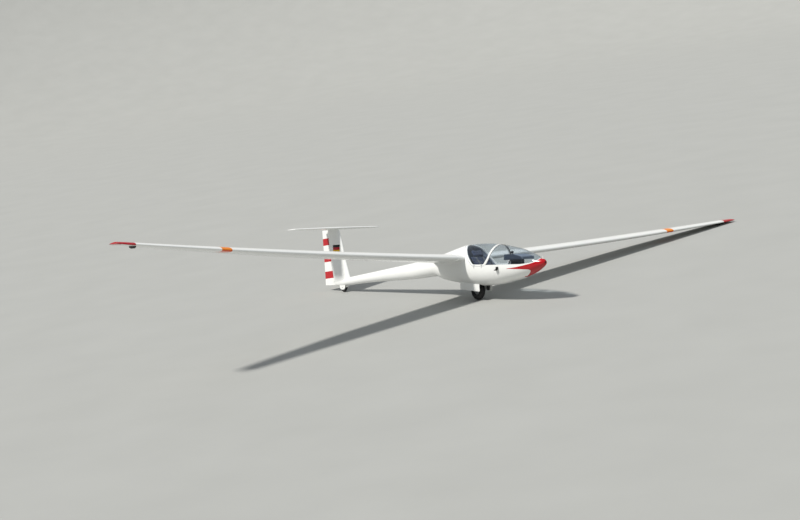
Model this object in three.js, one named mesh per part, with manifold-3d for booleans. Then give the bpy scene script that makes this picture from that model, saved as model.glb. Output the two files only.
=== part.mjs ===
// A 15 m single-seat sailplane, parked on its main wheel, its tail wheel and the skid of its left wing tip.
// The glider is modelled level, in millimetres: +X to the nose, +Y to its left wing, +Z up, with the origin on
// the centre line at the leading edge of the wing root. A last group then sets it down on the floor.
import * as THREE from 'three';
import { mergeVertices } from 'three/addons/utils/BufferGeometryUtils.js';
import Module from 'manifold-3d';

const wasm = await Module();
wasm.setup();

// Driving dimensions
const WALL = 14;
const GLASS = 4;
const TOUCH = 0.3;
const CLEAR = 5;
const PIN_CLEAR = 0.4;
const RING = 32;

// Fuselage sections. Columns: x, top, bottom, half width, height of the widest point, roundness above, below.
const FUSELAGE = [
  [-4790, -300, -412, 34, -356, 2.0, 2.0],
  [-4480, -279, -433, 58, -356, 2.0, 2.0],
  [-4180, -248, -415, 74, -330, 2.0, 2.1],
  [-3230, -153, -372, 103, -262, 2.0, 2.1],
  [-1940, -21, -343, 140, -182, 2.0, 2.1],
  [-1500, 28, -322, 164, -150, 2.0, 2.1],
  [-1180, 74, -308, 190, -125, 2.0, 2.1],
  [-925, 124, -376, 222, -112, 2.0, 2.1],
  [-730, 165, -412, 246, -108, 2.0, 2.2],
  [-480, 217, -450, 270, -108, 2.0, 2.25],
  [-237, 261, -482, 286, -112, 2.0, 2.3],
  [0, 277, -507, 296, -122, 2.05, 2.3],
  [250, 279, -521, 300, -134, 2.05, 2.3],
  [495, 266, -517, 300, -142, 2.05, 2.3],
  [796, 233, -496, 291, -148, 2.05, 2.3],
  [1050, 191, -456, 273, -151, 2.05, 2.2],
  [1225, 157, -428, 254, -152, 2.05, 2.2],
  [1490, 81, -366, 208, -150, 2.05, 2.1],
  [1690, 8, -301, 156, -146, 2.0, 2.0],
  [1805, -54, -247, 111, -143, 2.0, 2.0],
  [1880, -74, -208, 73, -140, 2.0, 2.0],
  [1912, -92, -184, 48, -138, 2.0, 2.0],
  [1928, -112, -162, 25, -137, 2.0, 2.0],
];
const POD_END = -1180;
const POD_FRAMES = [-360, 1000, 1400];
const CABIN_REAR = -270;
const CABIN_FRONT = 1845;

// Side-view edge of the canopy opening, x and z: down the rear seam, along the sill and up ahead of the glass.
const CANOPY_EDGE = [[-300, 330], [-235, 275], [-209, 255], [-105, 190], [-25, 107], [45, 24], [122, -59],
  [165, -105], [205, -135], [250, -147], [548, -152], [578, -134], [1000, -140], [1268, -143], [1466, -146],
  [1651, -133], [1751, -116], [1805, -90], [1822, -50], [1824, 400]];
// Seam between the hinged canopy and the fixed windscreen in side view, x and z from its foot upwards.
const ARCH = [[520, -200], [560, -151], [581, -121], [646, -44], [684, 50], [711, 143], [726, 204], [731, 241],
  [733, 420]];
const CANOPY_RAIL = 30;
const HOOP = 16;
const FRAME_DEPTH = 12;

// Wing sections. Columns: distance from the centre line, chord, thickness in parts of the chord,
// twist in degrees.
const WING = [
  [150, 962, 0.155, 1.0],
  [420, 915, 0.152, 1.0],
  [1600, 862, 0.15, 0.6],
  [2800, 806, 0.15, 0.3],
  [4300, 732, 0.15, 0],
  [5600, 604, 0.148, -0.4],
  [7050, 442, 0.14, -1.0],
  [7380, 396, 0.13, -1.2],
  [7470, 340, 0.12, -1.2],
  [7500, 262, 0.09, -1.2],
];
const WING_SWEEP = 0.02;
const WING_RISE = 0.051;
const WING_CURVE = 0.000003;
const CAMBER = 0.032;
const CAMBER_AT = 0.42;
const AILERON = { inner: 4320, outer: 7060, hinge: 0.8 };
const AIRBRAKE = { inner: 2080, outer: 3420, at: 0.52, box: 26, cap: 60, blade: 8, height: 74, depth: 80,
  lid: 6, guide: 16 };
const TIP_SKID = { y: 7120, length: 220, width: 16, depth: 26 };

// Fin and rudder sections. Columns: height, leading edge x, trailing edge x, thickness in parts of the chord.
const FIN = [
  [-400, -4120, -5070, 0.11],
  [-245, -4166, -5071, 0.115],
  [109, -4284, -5078, 0.12],
  [486, -4390, -5092, 0.12],
  [830, -4505, -5104, 0.12],
];
const RUDDER_HINGE = [[-4706, -400], [-4890, 800]];
const RUDDER_TOP = 772;
const RUDDER_FOOT = -399;
const FIN_FOOT = -270;

// Tailplane sections. Columns: distance from the centre line, leading edge x, trailing edge x, thickness in mm.
const TAILPLANE = [
  [0, -4455, -4962, 58],
  [700, -4488, -4894, 45],
  [1040, -4508, -4856, 34],
  [1085, -4522, -4846, 24],
  [1094, -4550, -4830, 12],
];
const TAILPLANE_Z = 803;
const ELEVATOR_HINGE_X = -4780;
const ELEVATOR_ROOT = 136;
const TAILPLANE_MIDDLE = 128;
const TORQUE_ROD = 8;

// Landing gear
const MAIN_WHEEL = { x: -5, z: -614, ring: 115, tube: 60, rim: 66, bore: 13, axle: 12.5 };
const TAIL_WHEEL = { x: -4398, z: -456, ring: 75, tube: 25, rim: 56, bore: 8.5, axle: 8 };
const WELL = { front: 222, rear: -346, half: 148, roof: -300, wall: 6 };
const DOOR = [[-345, -420], [220, -420], [220, -630], [-345, -575]];
const DOOR_THICK = 9;
const TAIL_SLOT = { length: 112, half: 40, roof: -345 };
const AIR_INLET = { z: -137, radius: 15, ring: 14.6, bore: 11, from: 1860, to: 1931 };

// Hinge fittings: half height of the lug, radius of its pin, thickness of its plate and how far it reaches.
const AILERON_LUG = { lug: 7, pin: 3, thick: 5, reach: 42, shares: [0.08, 0.5, 0.92] };
const RUDDER_LUG = { lug: 11, pin: 5, thick: 8, reach: 60, shares: [0.4, 0.93], foot: 60 };
const ELEVATOR_LUG = { lug: 6, pin: 3, thick: 5, reach: 30, shares: [0.45, 0.93] };
const CANOPY_LUG = { y: -310, z: -125, at: [255, 470], wide: 12, outer: 7, pin: 3, sill: -175, skin: -288 };

// Cockpit furniture, as side-view outlines of x and z points with the half width of each piece.
const SEAT_PAN = { half: 215, outline: [[980, -410], [980, -418], [840, -452], [470, -462], [440, -458],
  [440, -450], [475, -452], [836, -443]] };
const BACKREST = { half: 205, outline: [[430, -447], [452, -430], [70, 40], [48, 24]] };
const HEADREST = { half: 115, outline: [[92, 59], [47.7, 24.5], [-34, 125], [12, 162]] };
const SHELF = { from: -400, to: 40, top: 0, thick: 8 };
const PANEL_TOP = { half: 150, outline: [[945, -60], [965, 45], [1250, 45], [1465, -10], [1465, -60]] };
const PANEL_STAND = { half: 62, outline: [[1030, -59], [1090, -460], [1240, -440], [1285, -110], [1285, -59]] };
const COMPASS = { x: 1030, deck: 45, base: 10, ball: 28, z: 80 };
const STICK = { foot: [740, -444.2], bend: [770, -250], top: [786, -150], radius: 10, grip: [16, 19],
  boot: 30 };
const PEDALS = { x: 1470, z: -300, bar: 8, reach: 120, inner: 60, outer: 130, floor: -420,
  plate: [[1462, -305], [1478, -305], [1512, -180], [1500, -176]] };
const LEVER = { from: [620, 250], to: [1000, 236], z: -235, rail: 6, handle: 13, at: 800, mounts: [640, 980] };
const SCOOP = [[866, -228], [868, -244], [896, -246], [936, -216], [940, -176], [922, -176], [918, -206],
  [892, -228]];
const TOW_HOOK = { half: 14, outline: [[335, -500], [330, -572], [312, -608], [280, -612], [258, -590], [250, -500]],
  hole: [288, -586, 9] };
const NOSE_POST = { x: 1862, from: -90, to: -18, radius: 4 };

const COLOURS = {
  white: [0xf2f3f1, 0.25, 0],
  glass: [0x9fb4c4, 0.05, 0],
  dark: [0x20242b, 0.6, 0],
  panel: [0x2b3a4c, 0.5, 0],
  seat: [0x3c4a68, 0.9, 0],
  steel: [0xa9adb1, 0.4, 0.9],
  darkSteel: [0x2c2b2b, 0.5, 0.8],
  tyre: [0x17181a, 0.85, 0],
  grey: [0xb9bcbd, 0.45, 0],
  black: [0x141416, 0.45, 0],
};

// Basic shapes
const v = (x, y, z) => new THREE.Vector3(x, y, z);

function solid(geometry) {
  const bare = geometry.clone();
  bare.deleteAttribute('normal');
  bare.deleteAttribute('uv');
  const merged = mergeVertices(bare, 0.001);
  const vertProperties = new Float32Array(merged.attributes.position.array);
  const triVerts = new Uint32Array(merged.index.array);
  return new wasm.Manifold(new wasm.Mesh({ numProp: 3, vertProperties, triVerts }));
}

function geometryOf(body) {
  const mesh = body.getMesh();
  const geometry = new THREE.BufferGeometry();
  geometry.setAttribute('position', new THREE.Float32BufferAttribute(mesh.vertProperties, 3));
  geometry.setIndex(Array.from(mesh.triVerts));
  geometry.computeVertexNormals();
  return geometry;
}

const join = (...bodies) => bodies.reduce((whole, next) => whole.add(next));
const cut = (body, ...tools) => tools.reduce((rest, tool) => rest.subtract(tool), body);

function block(xs, ys, zs) {
  const geometry = new THREE.BoxGeometry(xs[1] - xs[0], ys[1] - ys[0], zs[1] - zs[0]);
  geometry.translate((xs[0] + xs[1]) / 2, (ys[0] + ys[1]) / 2, (zs[0] + zs[1]) / 2);
  return solid(geometry);
}

function rod(from, to, radius, radiusTo = radius, sides = 12) {
  const geometry = new THREE.CylinderGeometry(radiusTo, radius, from.distanceTo(to), sides);
  const turn = new THREE.Quaternion().setFromUnitVectors(v(0, 1, 0), to.clone().sub(from).normalize());
  geometry.applyQuaternion(turn);
  geometry.translate((from.x + to.x) / 2, (from.y + to.y) / 2, (from.z + to.z) / 2);
  return solid(geometry);
}

// A side-view outline of x and z points, made into a slab between two values of y.
function sideSlab(outline, ys) {
  const shape = new THREE.Shape(outline.map(([x, z]) => new THREE.Vector2(x, z)));
  const geometry = new THREE.ExtrudeGeometry(shape, { depth: ys[1] - ys[0], bevelEnabled: false });
  geometry.rotateX(Math.PI / 2);
  geometry.translate(0, ys[1], 0);
  return solid(geometry);
}

// A turned piece round a line along Y: the profile holds radius and y points.
function turned(profile, x, z, sides = 24) {
  const points = profile.map(([radius, y]) => new THREE.Vector2(radius, y));
  const geometry = new THREE.LatheGeometry(points, sides);
  geometry.translate(x, 0, z);
  return solid(geometry);
}

function loft(rings) {
  const positions = [];
  const index = [];
  const count = rings[0].length;
  for (const ring of rings) for (const p of ring) positions.push(p.x, p.y, p.z);
  for (const ring of [rings[0], rings[rings.length - 1]]) {
    const middle = ring.reduce((sum, p) => sum.add(p), v(0, 0, 0)).divideScalar(count);
    positions.push(middle.x, middle.y, middle.z);
  }
  for (let r = 0; r + 1 < rings.length; r += 1) {
    for (let i = 0; i < count; i += 1) {
      const a = r * count + i;
      const b = r * count + (i + 1) % count;
      index.push(a, b, b + count, a, b + count, a + count);
    }
  }
  const last = (rings.length - 1) * count;
  for (let i = 0; i < count; i += 1) {
    const next = (i + 1) % count;
    index.push(rings.length * count, next, i);
    index.push(rings.length * count + 1, last + i, last + next);
  }
  const geometry = new THREE.BufferGeometry();
  geometry.setAttribute('position', new THREE.Float32BufferAttribute(positions, 3));
  geometry.setIndex(index);
  const made = solid(geometry);
  return made.volume() > 0 ? made : flipped(geometry);
}

function flipped(geometry) {
  const index = geometry.index.array;
  for (let i = 0; i < index.length; i += 3) [index[i + 1], index[i + 2]] = [index[i + 2], index[i + 1]];
  return solid(geometry);
}

// Smooth value between the rows of a table whose first column rises, with no overshoot.
function smooth(table, at, column) {
  const last = table.length - 1;
  if (at <= table[0][0]) return table[0][column];
  if (at >= table[last][0]) return table[last][column];
  const i = table.findIndex((row) => row[0] > at) - 1;
  const slope = (k) => (table[k + 1][column] - table[k][column]) / (table[k + 1][0] - table[k][0]);
  const tangent = (k) => {
    if (k === 0) return slope(0);
    if (k === last) return slope(last - 1);
    const before = slope(k - 1);
    const after = slope(k);
    return before * after > 0 ? (2 * before * after) / (before + after) : 0;
  };
  const step = table[i + 1][0] - table[i][0];
  const t = (at - table[i][0]) / step;
  const [p, q] = [table[i][column], table[i + 1][column]];
  const [m, n] = [tangent(i) * step, tangent(i + 1) * step];
  return (2 * t ** 3 - 3 * t ** 2 + 1) * p + (t ** 3 - 2 * t ** 2 + t) * m
    + (3 * t ** 2 - 2 * t ** 3) * q + (t ** 3 - t ** 2) * n;
}

// Fuselage
function fuselageRing(x, inset) {
  const [top, bottom, half, wide, above, below] = [1, 2, 3, 4, 5, 6].map((c) => smooth(FUSELAGE, x, c));
  const ring = [];
  for (let i = 0; i < RING; i += 1) {
    const angle = (2 * Math.PI * i) / RING;
    const [c, s] = [Math.cos(angle), Math.sin(angle)];
    const power = 2 / (s > 0 ? above : below);
    const height = (s > 0 ? top - wide : wide - bottom) - inset;
    const y = (half - inset) * Math.sign(c) * Math.abs(c) ** power;
    ring.push(v(x, y, wide + height * Math.sign(s) * Math.abs(s) ** power));
  }
  return ring;
}

function fuselageBody(from, to, inset = 0) {
  const stations = FUSELAGE.map((row) => row[0]);
  const halves = stations.slice(1).map((x, i) => (x + stations[i]) / 2).filter((x) => x > -1100);
  const inner = [...stations, ...halves].filter((x) => x > from + 12 && x < to - 8);
  return loft([from, ...inner.sort((a, b) => a - b), to].map((x) => fuselageRing(x, inset)));
}

const hull = fuselageBody(-4790, 1928);
const hullClear = fuselageBody(-4790, 1928, -TOUCH);
const cabin = fuselageBody(CABIN_REAR, CABIN_FRONT, WALL);
const cabinClear = fuselageBody(CABIN_REAR + TOUCH, CABIN_FRONT - TOUCH, WALL + TOUCH);

// A side-view line moved by a distance to the right of the way it runs.
function offsetLine(line, distance) {
  const last = line.length - 1;
  const way = (i) => new THREE.Vector2(line[i + 1][0] - line[i][0], line[i + 1][1] - line[i][1]).normalize();
  return line.map(([x, z], i) => {
    const after = way(Math.min(i, last - 1));
    const mean = way(Math.max(i - 1, 0)).add(after).normalize();
    const reach = distance / mean.dot(after);
    return [x + mean.y * reach, z - mean.x * reach];
  });
}

// Everything above the edge of the canopy opening, grown or shrunk all round.
function canopyRegion(xs, grow) {
  const edge = offsetLine(CANOPY_EDGE, grow);
  const high = edge[edge.length - 1][1];
  return sideSlab([[edge[0][0], high], ...edge], [-400, 400]).intersect(block(xs, [-400, 400], [-400, high]));
}

// The space behind a line parallel to the arch.
function behindArch(offset) {
  const line = offsetLine(ARCH, offset);
  return sideSlab([[-600, line[0][1]], ...line, [-600, line[line.length - 1][1]]], [-400, 400]);
}

function skin(depth) {
  return fuselageBody(-420, 1900).subtract(fuselageBody(-430, 1860, depth));
}

function rearOutline(inset) {
  return canopyRegion([-600, 1000], -inset).intersect(behindArch(-inset));
}

function canopyParts() {
  const wall = skin(FRAME_DEPTH);
  const pane = skin(GLASS);
  const rail = rearOutline(CLEAR).subtract(rearOutline(CLEAR + CANOPY_RAIL));
  const frame = wall.intersect(rail);
  const glass = pane.intersect(rearOutline(CLEAR + CANOPY_RAIL + TOUCH));
  const fixed = canopyRegion([300, 1900], -TOUCH).subtract(behindArch(TOUCH));
  const hoop = wall.intersect(fixed).intersect(behindArch(HOOP));
  const screen = pane.intersect(fixed.subtract(behindArch(HOOP + TOUCH)));
  return { frame, glass, hoop, screen };
}

// Aerofoil sections
function thickness(t, at) {
  return 5 * t * (0.2969 * Math.sqrt(at) - 0.126 * at - 0.3516 * at ** 2 + 0.2843 * at ** 3 - 0.1015 * at ** 4);
}

function camberLine(at) {
  if (CAMBER_AT > at) return (CAMBER / CAMBER_AT ** 2) * (2 * CAMBER_AT * at - at ** 2);
  return (CAMBER / (1 - CAMBER_AT) ** 2) * (1 - 2 * CAMBER_AT + 2 * CAMBER_AT * at - at ** 2);
}

// Points round a section of chord 1: distance behind the leading edge and height. The trailing edge is blunt.
function section(t, cambered, steps = 9) {
  const upper = [];
  const lower = [];
  for (let i = 0; i <= steps; i += 1) {
    const at = 1 - Math.cos((Math.PI * i) / (2 * steps));
    const middle = cambered ? camberLine(at) : 0;
    const half = thickness(t, at) + 0.0012 * at;
    upper.push([at, middle + half]);
    if (i > 0) lower.push([at, middle - half]);
  }
  return [...upper.reverse(), ...lower];
}

const wingLead = (y) => v(-WING_SWEEP * Math.abs(y), y, WING_RISE * Math.abs(y) + WING_CURVE * y * y);

// A point of the wing: distance from the centre line with its sign, chord fraction and height above the chord.
function wingPoint(y, at, lift = 0) {
  const chord = smooth(WING, Math.abs(y), 1);
  const twist = THREE.MathUtils.degToRad(smooth(WING, Math.abs(y), 3) + 2.5);
  const back = chord * at;
  const lead = wingLead(y);
  return v(lead.x - back * Math.cos(twist) - lift * Math.sin(twist), y,
    lead.z - back * Math.sin(twist) + lift * Math.cos(twist));
}

function wingHalfThickness(y, at) {
  return thickness(smooth(WING, Math.abs(y), 2), at) * smooth(WING, Math.abs(y), 1);
}

const wingMiddle = (y, at) => wingPoint(y, at, camberLine(at) * smooth(WING, Math.abs(y), 1));

function wingBody(side) {
  const ring = ([y, chord, t]) => section(t, true).map(([at, up]) => wingPoint(side * y, at, up * chord));
  return loft(WING.map(ring));
}

// The frame of a hinge line: unit vectors along it, towards the piece that carries it, and across both.
function hingeFrame(from, to, towards) {
  const along = to.clone().sub(from).normalize();
  const ahead = towards.clone().sub(along.clone().multiplyScalar(towards.dot(along))).normalize();
  return { along, ahead, across: along.clone().cross(ahead) };
}

function boxInFrame(frame, at, alongs, aheads, acrosses) {
  const sizes = [alongs, aheads, acrosses].map((range) => range[1] - range[0]);
  const geometry = new THREE.BoxGeometry(...sizes);
  const mid = (range) => (range[0] + range[1]) / 2;
  geometry.translate(mid(alongs), mid(aheads), mid(acrosses));
  const matrix = new THREE.Matrix4().makeBasis(frame.along, frame.ahead, frame.across).setPosition(at);
  geometry.applyMatrix4(matrix);
  return matrix.determinant() > 0 ? solid(geometry) : flipped(geometry);
}

// Parts the whole surface at a hinge line: the carrier ahead gets a round cove, the moving piece a round nose.
function splitAtHinge(whole, from, to, radii, towards, ends, carrier = whole) {
  const frame = hingeFrame(from, to, towards);
  const length = from.distanceTo(to);
  const beyond = 1500;
  const behind = (slack) => boxInFrame(frame, from, [ends[0] - slack, length - ends[1] + slack],
    [-beyond, slack], [-300, 300]);
  const place = (along) => from.clone().add(frame.along.clone().multiplyScalar(along));
  const cone = (slack, grow) => rod(place(ends[0] - slack), place(length - ends[1] + slack),
    radii[0] + grow, radii[1] + grow, 20);
  const moving = join(whole.intersect(behind(0)), whole.intersect(cone(0, 0)));
  const fixed = cut(carrier, behind(CLEAR), cone(CLEAR, CLEAR));
  return { frame, place, moving, fixed };
}

// Radii at the ends of a hinge line that take in the surface along it, from its middle and half thickness.
function enclosingRadii(from, to, ends, middleAt, halfAt) {
  const radii = ends.map(halfAt);
  let excess = 0;
  for (let share = 0; share <= 1; share += 0.05) {
    const at = ends[0] + (ends[1] - ends[0]) * share;
    const off = middleAt(at).distanceTo(from.clone().lerp(to, share));
    excess = Math.max(excess, halfAt(at) + off - (radii[0] + (radii[1] - radii[0]) * share));
  }
  return radii.map((radius) => radius + excess + 0.5);
}

// One hinge fitting: a lug of the carrier reaches into a slot of the moving piece and holds its pin.
function addHinge(parts, along, fitting) {
  const { frame, place } = parts;
  const { lug, pin, thick, reach } = fitting;
  const at = place(along);
  const end = (distance) => place(along + distance);
  const plate = join(boxInFrame(frame, at, [-thick / 2, thick / 2], [0, reach], [-lug, lug]),
    rod(end(-thick / 2), end(thick / 2), lug));
  const slot = boxInFrame(frame, at, [-thick / 2 - 2, thick / 2 + 2], [-lug - 3, 200], [-200, 200]);
  parts.fixed = join(parts.fixed, plate).subtract(rod(end(-thick), end(thick), pin + PIN_CLEAR));
  parts.moving = join(parts.moving.subtract(slot), rod(end(-thick / 2 - 3), end(thick / 2 + 3), pin));
}

function wingParts(side) {
  const whole = wingBody(side).subtract(hullClear);
  const [inner, outer] = [side * AILERON.inner, side * AILERON.outer];
  const from = wingMiddle(inner, AILERON.hinge);
  const to = wingMiddle(outer, AILERON.hinge);
  const radii = enclosingRadii(from, to, [inner, outer], (y) => wingMiddle(y, AILERON.hinge),
    (y) => wingHalfThickness(y, AILERON.hinge));
  const parts = splitAtHinge(whole, from, to, radii, v(1, 0, 0), [CLEAR, CLEAR]);
  const length = from.distanceTo(to);
  for (const share of AILERON_LUG.shares) addHinge(parts, share * length, AILERON_LUG);
  const brake = airbrake(side, parts.fixed);
  return { wing: brake.wing, aileron: parts.moving, brake: brake.piece, slide: brake.up, hinge: [from, to] };
}

// The airbrake: a blade that rises out of a box in the wing, under a cap that lies flush with the upper side.
function airbrake(side, wing) {
  const [from, to] = [AIRBRAKE.inner, AIRBRAKE.outer].map((y) => wingPoint(side * y, AIRBRAKE.at,
    camberLine(AIRBRAKE.at) * smooth(WING, y, 1) + wingHalfThickness(y, AIRBRAKE.at)));
  const frame = hingeFrame(from, to, v(1, 0, 0));
  const up = frame.across.z > 0 ? frame.across : frame.across.clone().negate();
  const length = from.distanceTo(to);
  const inBox = (...ranges) => boxInFrame({ ...frame, across: up }, from, ...ranges);
  const { box, cap, blade, height, depth, lid: thick, guide } = AIRBRAKE;
  const slot = join(
    inBox([0, length], [-box / 2, box / 2], [-depth, 40]),
    inBox([-CLEAR, length + CLEAR], [-cap / 2 - CLEAR, cap / 2 + CLEAR], [-thick - CLEAR - 3, 40]),
    inBox([-guide - 2, 0.1], [-blade / 2 - PIN_CLEAR, blade / 2 + PIN_CLEAR], [-depth, 40]),
    inBox([length - 0.1, length + guide + 2], [-blade / 2 - PIN_CLEAR, blade / 2 + PIN_CLEAR], [-depth, 40]),
  );
  const cover = wing.intersect(inBox([0, length], [-cap / 2, cap / 2], [-thick - 3, 40]));
  const plate = inBox([CLEAR, length - CLEAR], [-blade / 2, blade / 2], [-height, -2]);
  const ears = inBox([-guide, length + guide], [-blade / 2, blade / 2], [-height, -thick - CLEAR - 6]);
  return { wing: wing.subtract(slot), piece: join(cover, plate, ears), up };
}

function tipSkid(side) {
  const { y, length, width, depth } = TIP_SKID;
  const lead = wingPoint(side * y, 0.18, -wingHalfThickness(y, 0.3));
  const outline = [[lead.x, lead.z + 30], [lead.x, lead.z - 8], [lead.x - 40, lead.z - depth],
    [lead.x - length + 60, lead.z - depth], [lead.x - length, lead.z - 6], [lead.x - length, lead.z + 30]];
  const ys = [side * y - width / 2, side * y + width / 2];
  return sideSlab(outline.reverse(), ys).subtract(wingGrown(side));
}

// The wing's skin moved out by the touching gap.
function wingGrown(side) {
  const rings = WING.map(([y, chord, t]) => section(t, true).map(([at, up]) => {
    const spread = (at - 0.5) * 2 * TOUCH + at * chord;
    const lift = up * chord + Math.sign(up - camberLine(Math.min(at, 1))) * TOUCH * 1.1;
    return wingPoint(side * y, spread / chord, lift);
  }));
  return loft(rings);
}

// Tail
function finBody() {
  const rings = FIN.map(([z, lead, trail, t]) => section(t, false).map(([at, out]) => (
    v(lead + (trail - lead) * at, out * (lead - trail), z))));
  return loft(rings);
}

const rudderHinge = RUDDER_HINGE.map(([x, z]) => v(x, 0, z));

function hingePoint(z) {
  const [foot, head] = rudderHinge;
  return foot.clone().lerp(head, (z - foot.z) / (head.z - foot.z));
}

function finRadius(z) {
  const [lead, trail, t] = [1, 2, 3].map((c) => smooth(FIN, z, c));
  return thickness(t, (lead - hingePoint(z).x) / (lead - trail)) * (lead - trail);
}

function tailplaneBody(grow = 0) {
  const rows = [...TAILPLANE.slice(1).reverse().map((row) => [-row[0], ...row.slice(1)]), ...TAILPLANE];
  const rings = rows.map(([y, lead, trail, thick]) => {
    const chord = lead - trail + 2 * grow;
    const t = (thick + 2 * grow) / chord;
    return section(t, false).map(([at, up]) => v(lead + grow - chord * at, y * (1 + grow / 1000),
      TAILPLANE_Z + up * chord));
  });
  return loft(rings);
}

function tailParts() {
  const whole = finBody();
  const top = block([-5300, -4000], [-200, 200], [RUDDER_TOP, 900]);
  const foot = block([-5300, -4000], [-200, 200], [-500, RUDDER_FOOT]);
  const radii = enclosingRadii(...rudderHinge, [-400, 800], (z) => hingePoint(z), finRadius);
  const boom = fuselageBody(-4790, POD_END - TOUCH);
  const split = splitAtHinge(whole, rudderHinge[0], rudderHinge[1], radii, v(1, 0, 0), [-60, -60]);
  const length = rudderHinge[0].distanceTo(rudderHinge[1]);
  split.moving = cut(split.moving, top, foot);
  split.fixed = cut(split.fixed, tailplaneBody(TOUCH), block([-5300, -4000], [-200, 200], [TAILPLANE_Z, 900]));
  for (const share of RUDDER_LUG.shares) addHinge(split, share * length, RUDDER_LUG);
  const boomSplit = { frame: split.frame, place: split.place, moving: split.moving };
  const behind = boxInFrame(split.frame, rudderHinge[0], [-200, length], [-1500, 0], [-300, 300]);
  const cove = rod(split.place(-60), split.place(length), radii[0] + CLEAR, radii[1] + CLEAR, 20);
  boomSplit.fixed = cut(boom, behind, cove);
  addHinge(boomSplit, RUDDER_LUG.foot, RUDDER_LUG);
  const { length: slotLength, half: slotHalf, roof } = TAIL_SLOT;
  const slotXs = [TAIL_WHEEL.x - slotLength, TAIL_WHEEL.x + slotLength];
  const wheelSlot = block(slotXs, [-slotHalf, slotHalf], [-600, roof]);
  const tailBoom = boomSplit.fixed.subtract(wheelSlot);
  const fin = split.fixed.subtract(hullClear).subtract(block([-4900, -4000], [-200, 200], [-500, FIN_FOOT]));
  return { boom: tailBoom, fin, rudder: boomSplit.moving };
}

function tailplaneParts() {
  const whole = tailplaneBody();
  const reach = TAILPLANE[TAILPLANE.length - 1][0];
  const halfThick = (y) => {
    const [lead, trail, thick] = [1, 2, 3].map((c) => smooth(TAILPLANE, y, c));
    const chord = lead - trail;
    return thickness(thick / chord, (lead - ELEVATOR_HINGE_X) / chord) * chord;
  };
  let fixed = whole.subtract(block([-5200, -4860], [-TAILPLANE_MIDDLE, TAILPLANE_MIDDLE], [700, 900]));
  let moving = null;
  const at = (y) => v(ELEVATOR_HINGE_X, y, TAILPLANE_Z);
  for (const side of [-1, 1]) {
    const end = reach - 30;
    const [from, to] = [at(side * ELEVATOR_ROOT), at(side * end)];
    const radii = enclosingRadii(from, to, [ELEVATOR_ROOT, end], (y) => at(side * y), halfThick);
    const parts = splitAtHinge(whole, from, to, radii, v(1, 0, 0), [0, 0], fixed);
    for (const share of ELEVATOR_LUG.shares) addHinge(parts, share * (end - ELEVATOR_ROOT), ELEVATOR_LUG);
    fixed = parts.fixed;
    moving = moving ? join(moving, parts.moving) : parts.moving;
  }
  const rodAt = ELEVATOR_ROOT + 4;
  fixed = fixed.subtract(rod(at(-rodAt), at(rodAt), TORQUE_ROD + PIN_CLEAR));
  moving = join(moving, rod(at(-rodAt), at(rodAt), TORQUE_ROD));
  return { tailplane: fixed, elevator: moving };
}

// Landing gear
function circle(radius, middle, from, to, steps) {
  const points = [];
  for (let i = 0; i <= steps; i += 1) {
    const angle = from + ((to - from) * i) / steps;
    points.push([middle + radius * Math.cos(angle), radius * Math.sin(angle)]);
  }
  return points;
}

function tyre(wheel) {
  const inner = Math.acos((wheel.rim - wheel.ring) / wheel.tube);
  const arc = circle(wheel.tube, wheel.ring, -inner, inner, 8);
  return turned([...arc, arc[0]], wheel.x, wheel.z, 40);
}

function hub(wheel) {
  const rim = wheel.rim - TOUCH;
  const wide = Math.sqrt(wheel.tube ** 2 - (wheel.rim - wheel.ring) ** 2);
  const { bore } = wheel;
  const half = [[bore, wide * 0.9], [bore * 2, wide * 0.9], [bore * 2.2, wide * 0.3],
    [wheel.rim * 0.8, wide * 0.3], [wheel.rim * 0.86, wide], [rim, wide]];
  const profile = [...half.map(([radius, y]) => [radius, -y]), ...half.reverse()];
  return turned([...profile, profile[0]], wheel.x, wheel.z);
}

function mainGear() {
  const { x, z, axle } = MAIN_WHEEL;
  const pivot = [-60, -352];
  const side = (s) => {
    const [near, far] = [s * 70, s * 78];
    const ys = [Math.min(near, far), Math.max(near, far)];
    const lean = [[x - 26, z], [x + 26, z], [pivot[0] + 34, pivot[1]], [pivot[0] - 34, pivot[1]]];
    return join(sideSlab(lean.reverse(), ys), rod(v(x, ys[0], z), v(x, ys[1], z), 26),
      rod(v(pivot[0], ys[0], pivot[1]), v(pivot[0], ys[1], pivot[1]), 34));
  };
  const bar = rod(v(pivot[0], -WELL.half + TOUCH, pivot[1]), v(pivot[0], WELL.half - TOUCH, pivot[1]), 16);
  const hole = rod(v(x, -100, z), v(x, 100, z), axle + TOUCH);
  const legs = join(side(1), side(-1), bar).subtract(hole);
  return { legs, axle: rod(v(x, -86, z), v(x, 86, z), axle) };
}

function tailGear() {
  const { x, z, axle } = TAIL_WHEEL;
  const side = (s) => {
    const ys = s > 0 ? [31, 39.7] : [-39.7, -31];
    const plate = [[x - 60, -350], [x - 30, z - 6], [x + 30, z - 6], [x + 75, -350]];
    return join(sideSlab(plate, ys), rod(v(x, ys[0], z), v(x, ys[1], z), 26));
  };
  const bridge = block([x - 60, x + 75], [-39.7, 39.7], [-351, -345 - TOUCH]);
  const hole = rod(v(x, -60, z), v(x, 60, z), axle + TOUCH);
  const fork = join(side(1), side(-1), bridge).subtract(hole);
  return { fork, axle: rod(v(x, -46, z), v(x, 46, z), axle) };
}

function wheelBox() {
  const { front, half, roof, wall } = WELL;
  const outer = block([CABIN_REAR + TOUCH, front + wall], [-half - wall, half + wall], [-600, roof + wall]);
  const inner = block([-400, front], [-half, half], [-700, roof]);
  return outer.intersect(cabinClear).subtract(inner);
}

function gearDoor(side) {
  const near = side > 0 ? [WELL.half, WELL.half + DOOR_THICK] : [-WELL.half - DOOR_THICK, -WELL.half];
  return sideSlab(DOOR, near).subtract(hullClear);
}

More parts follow.
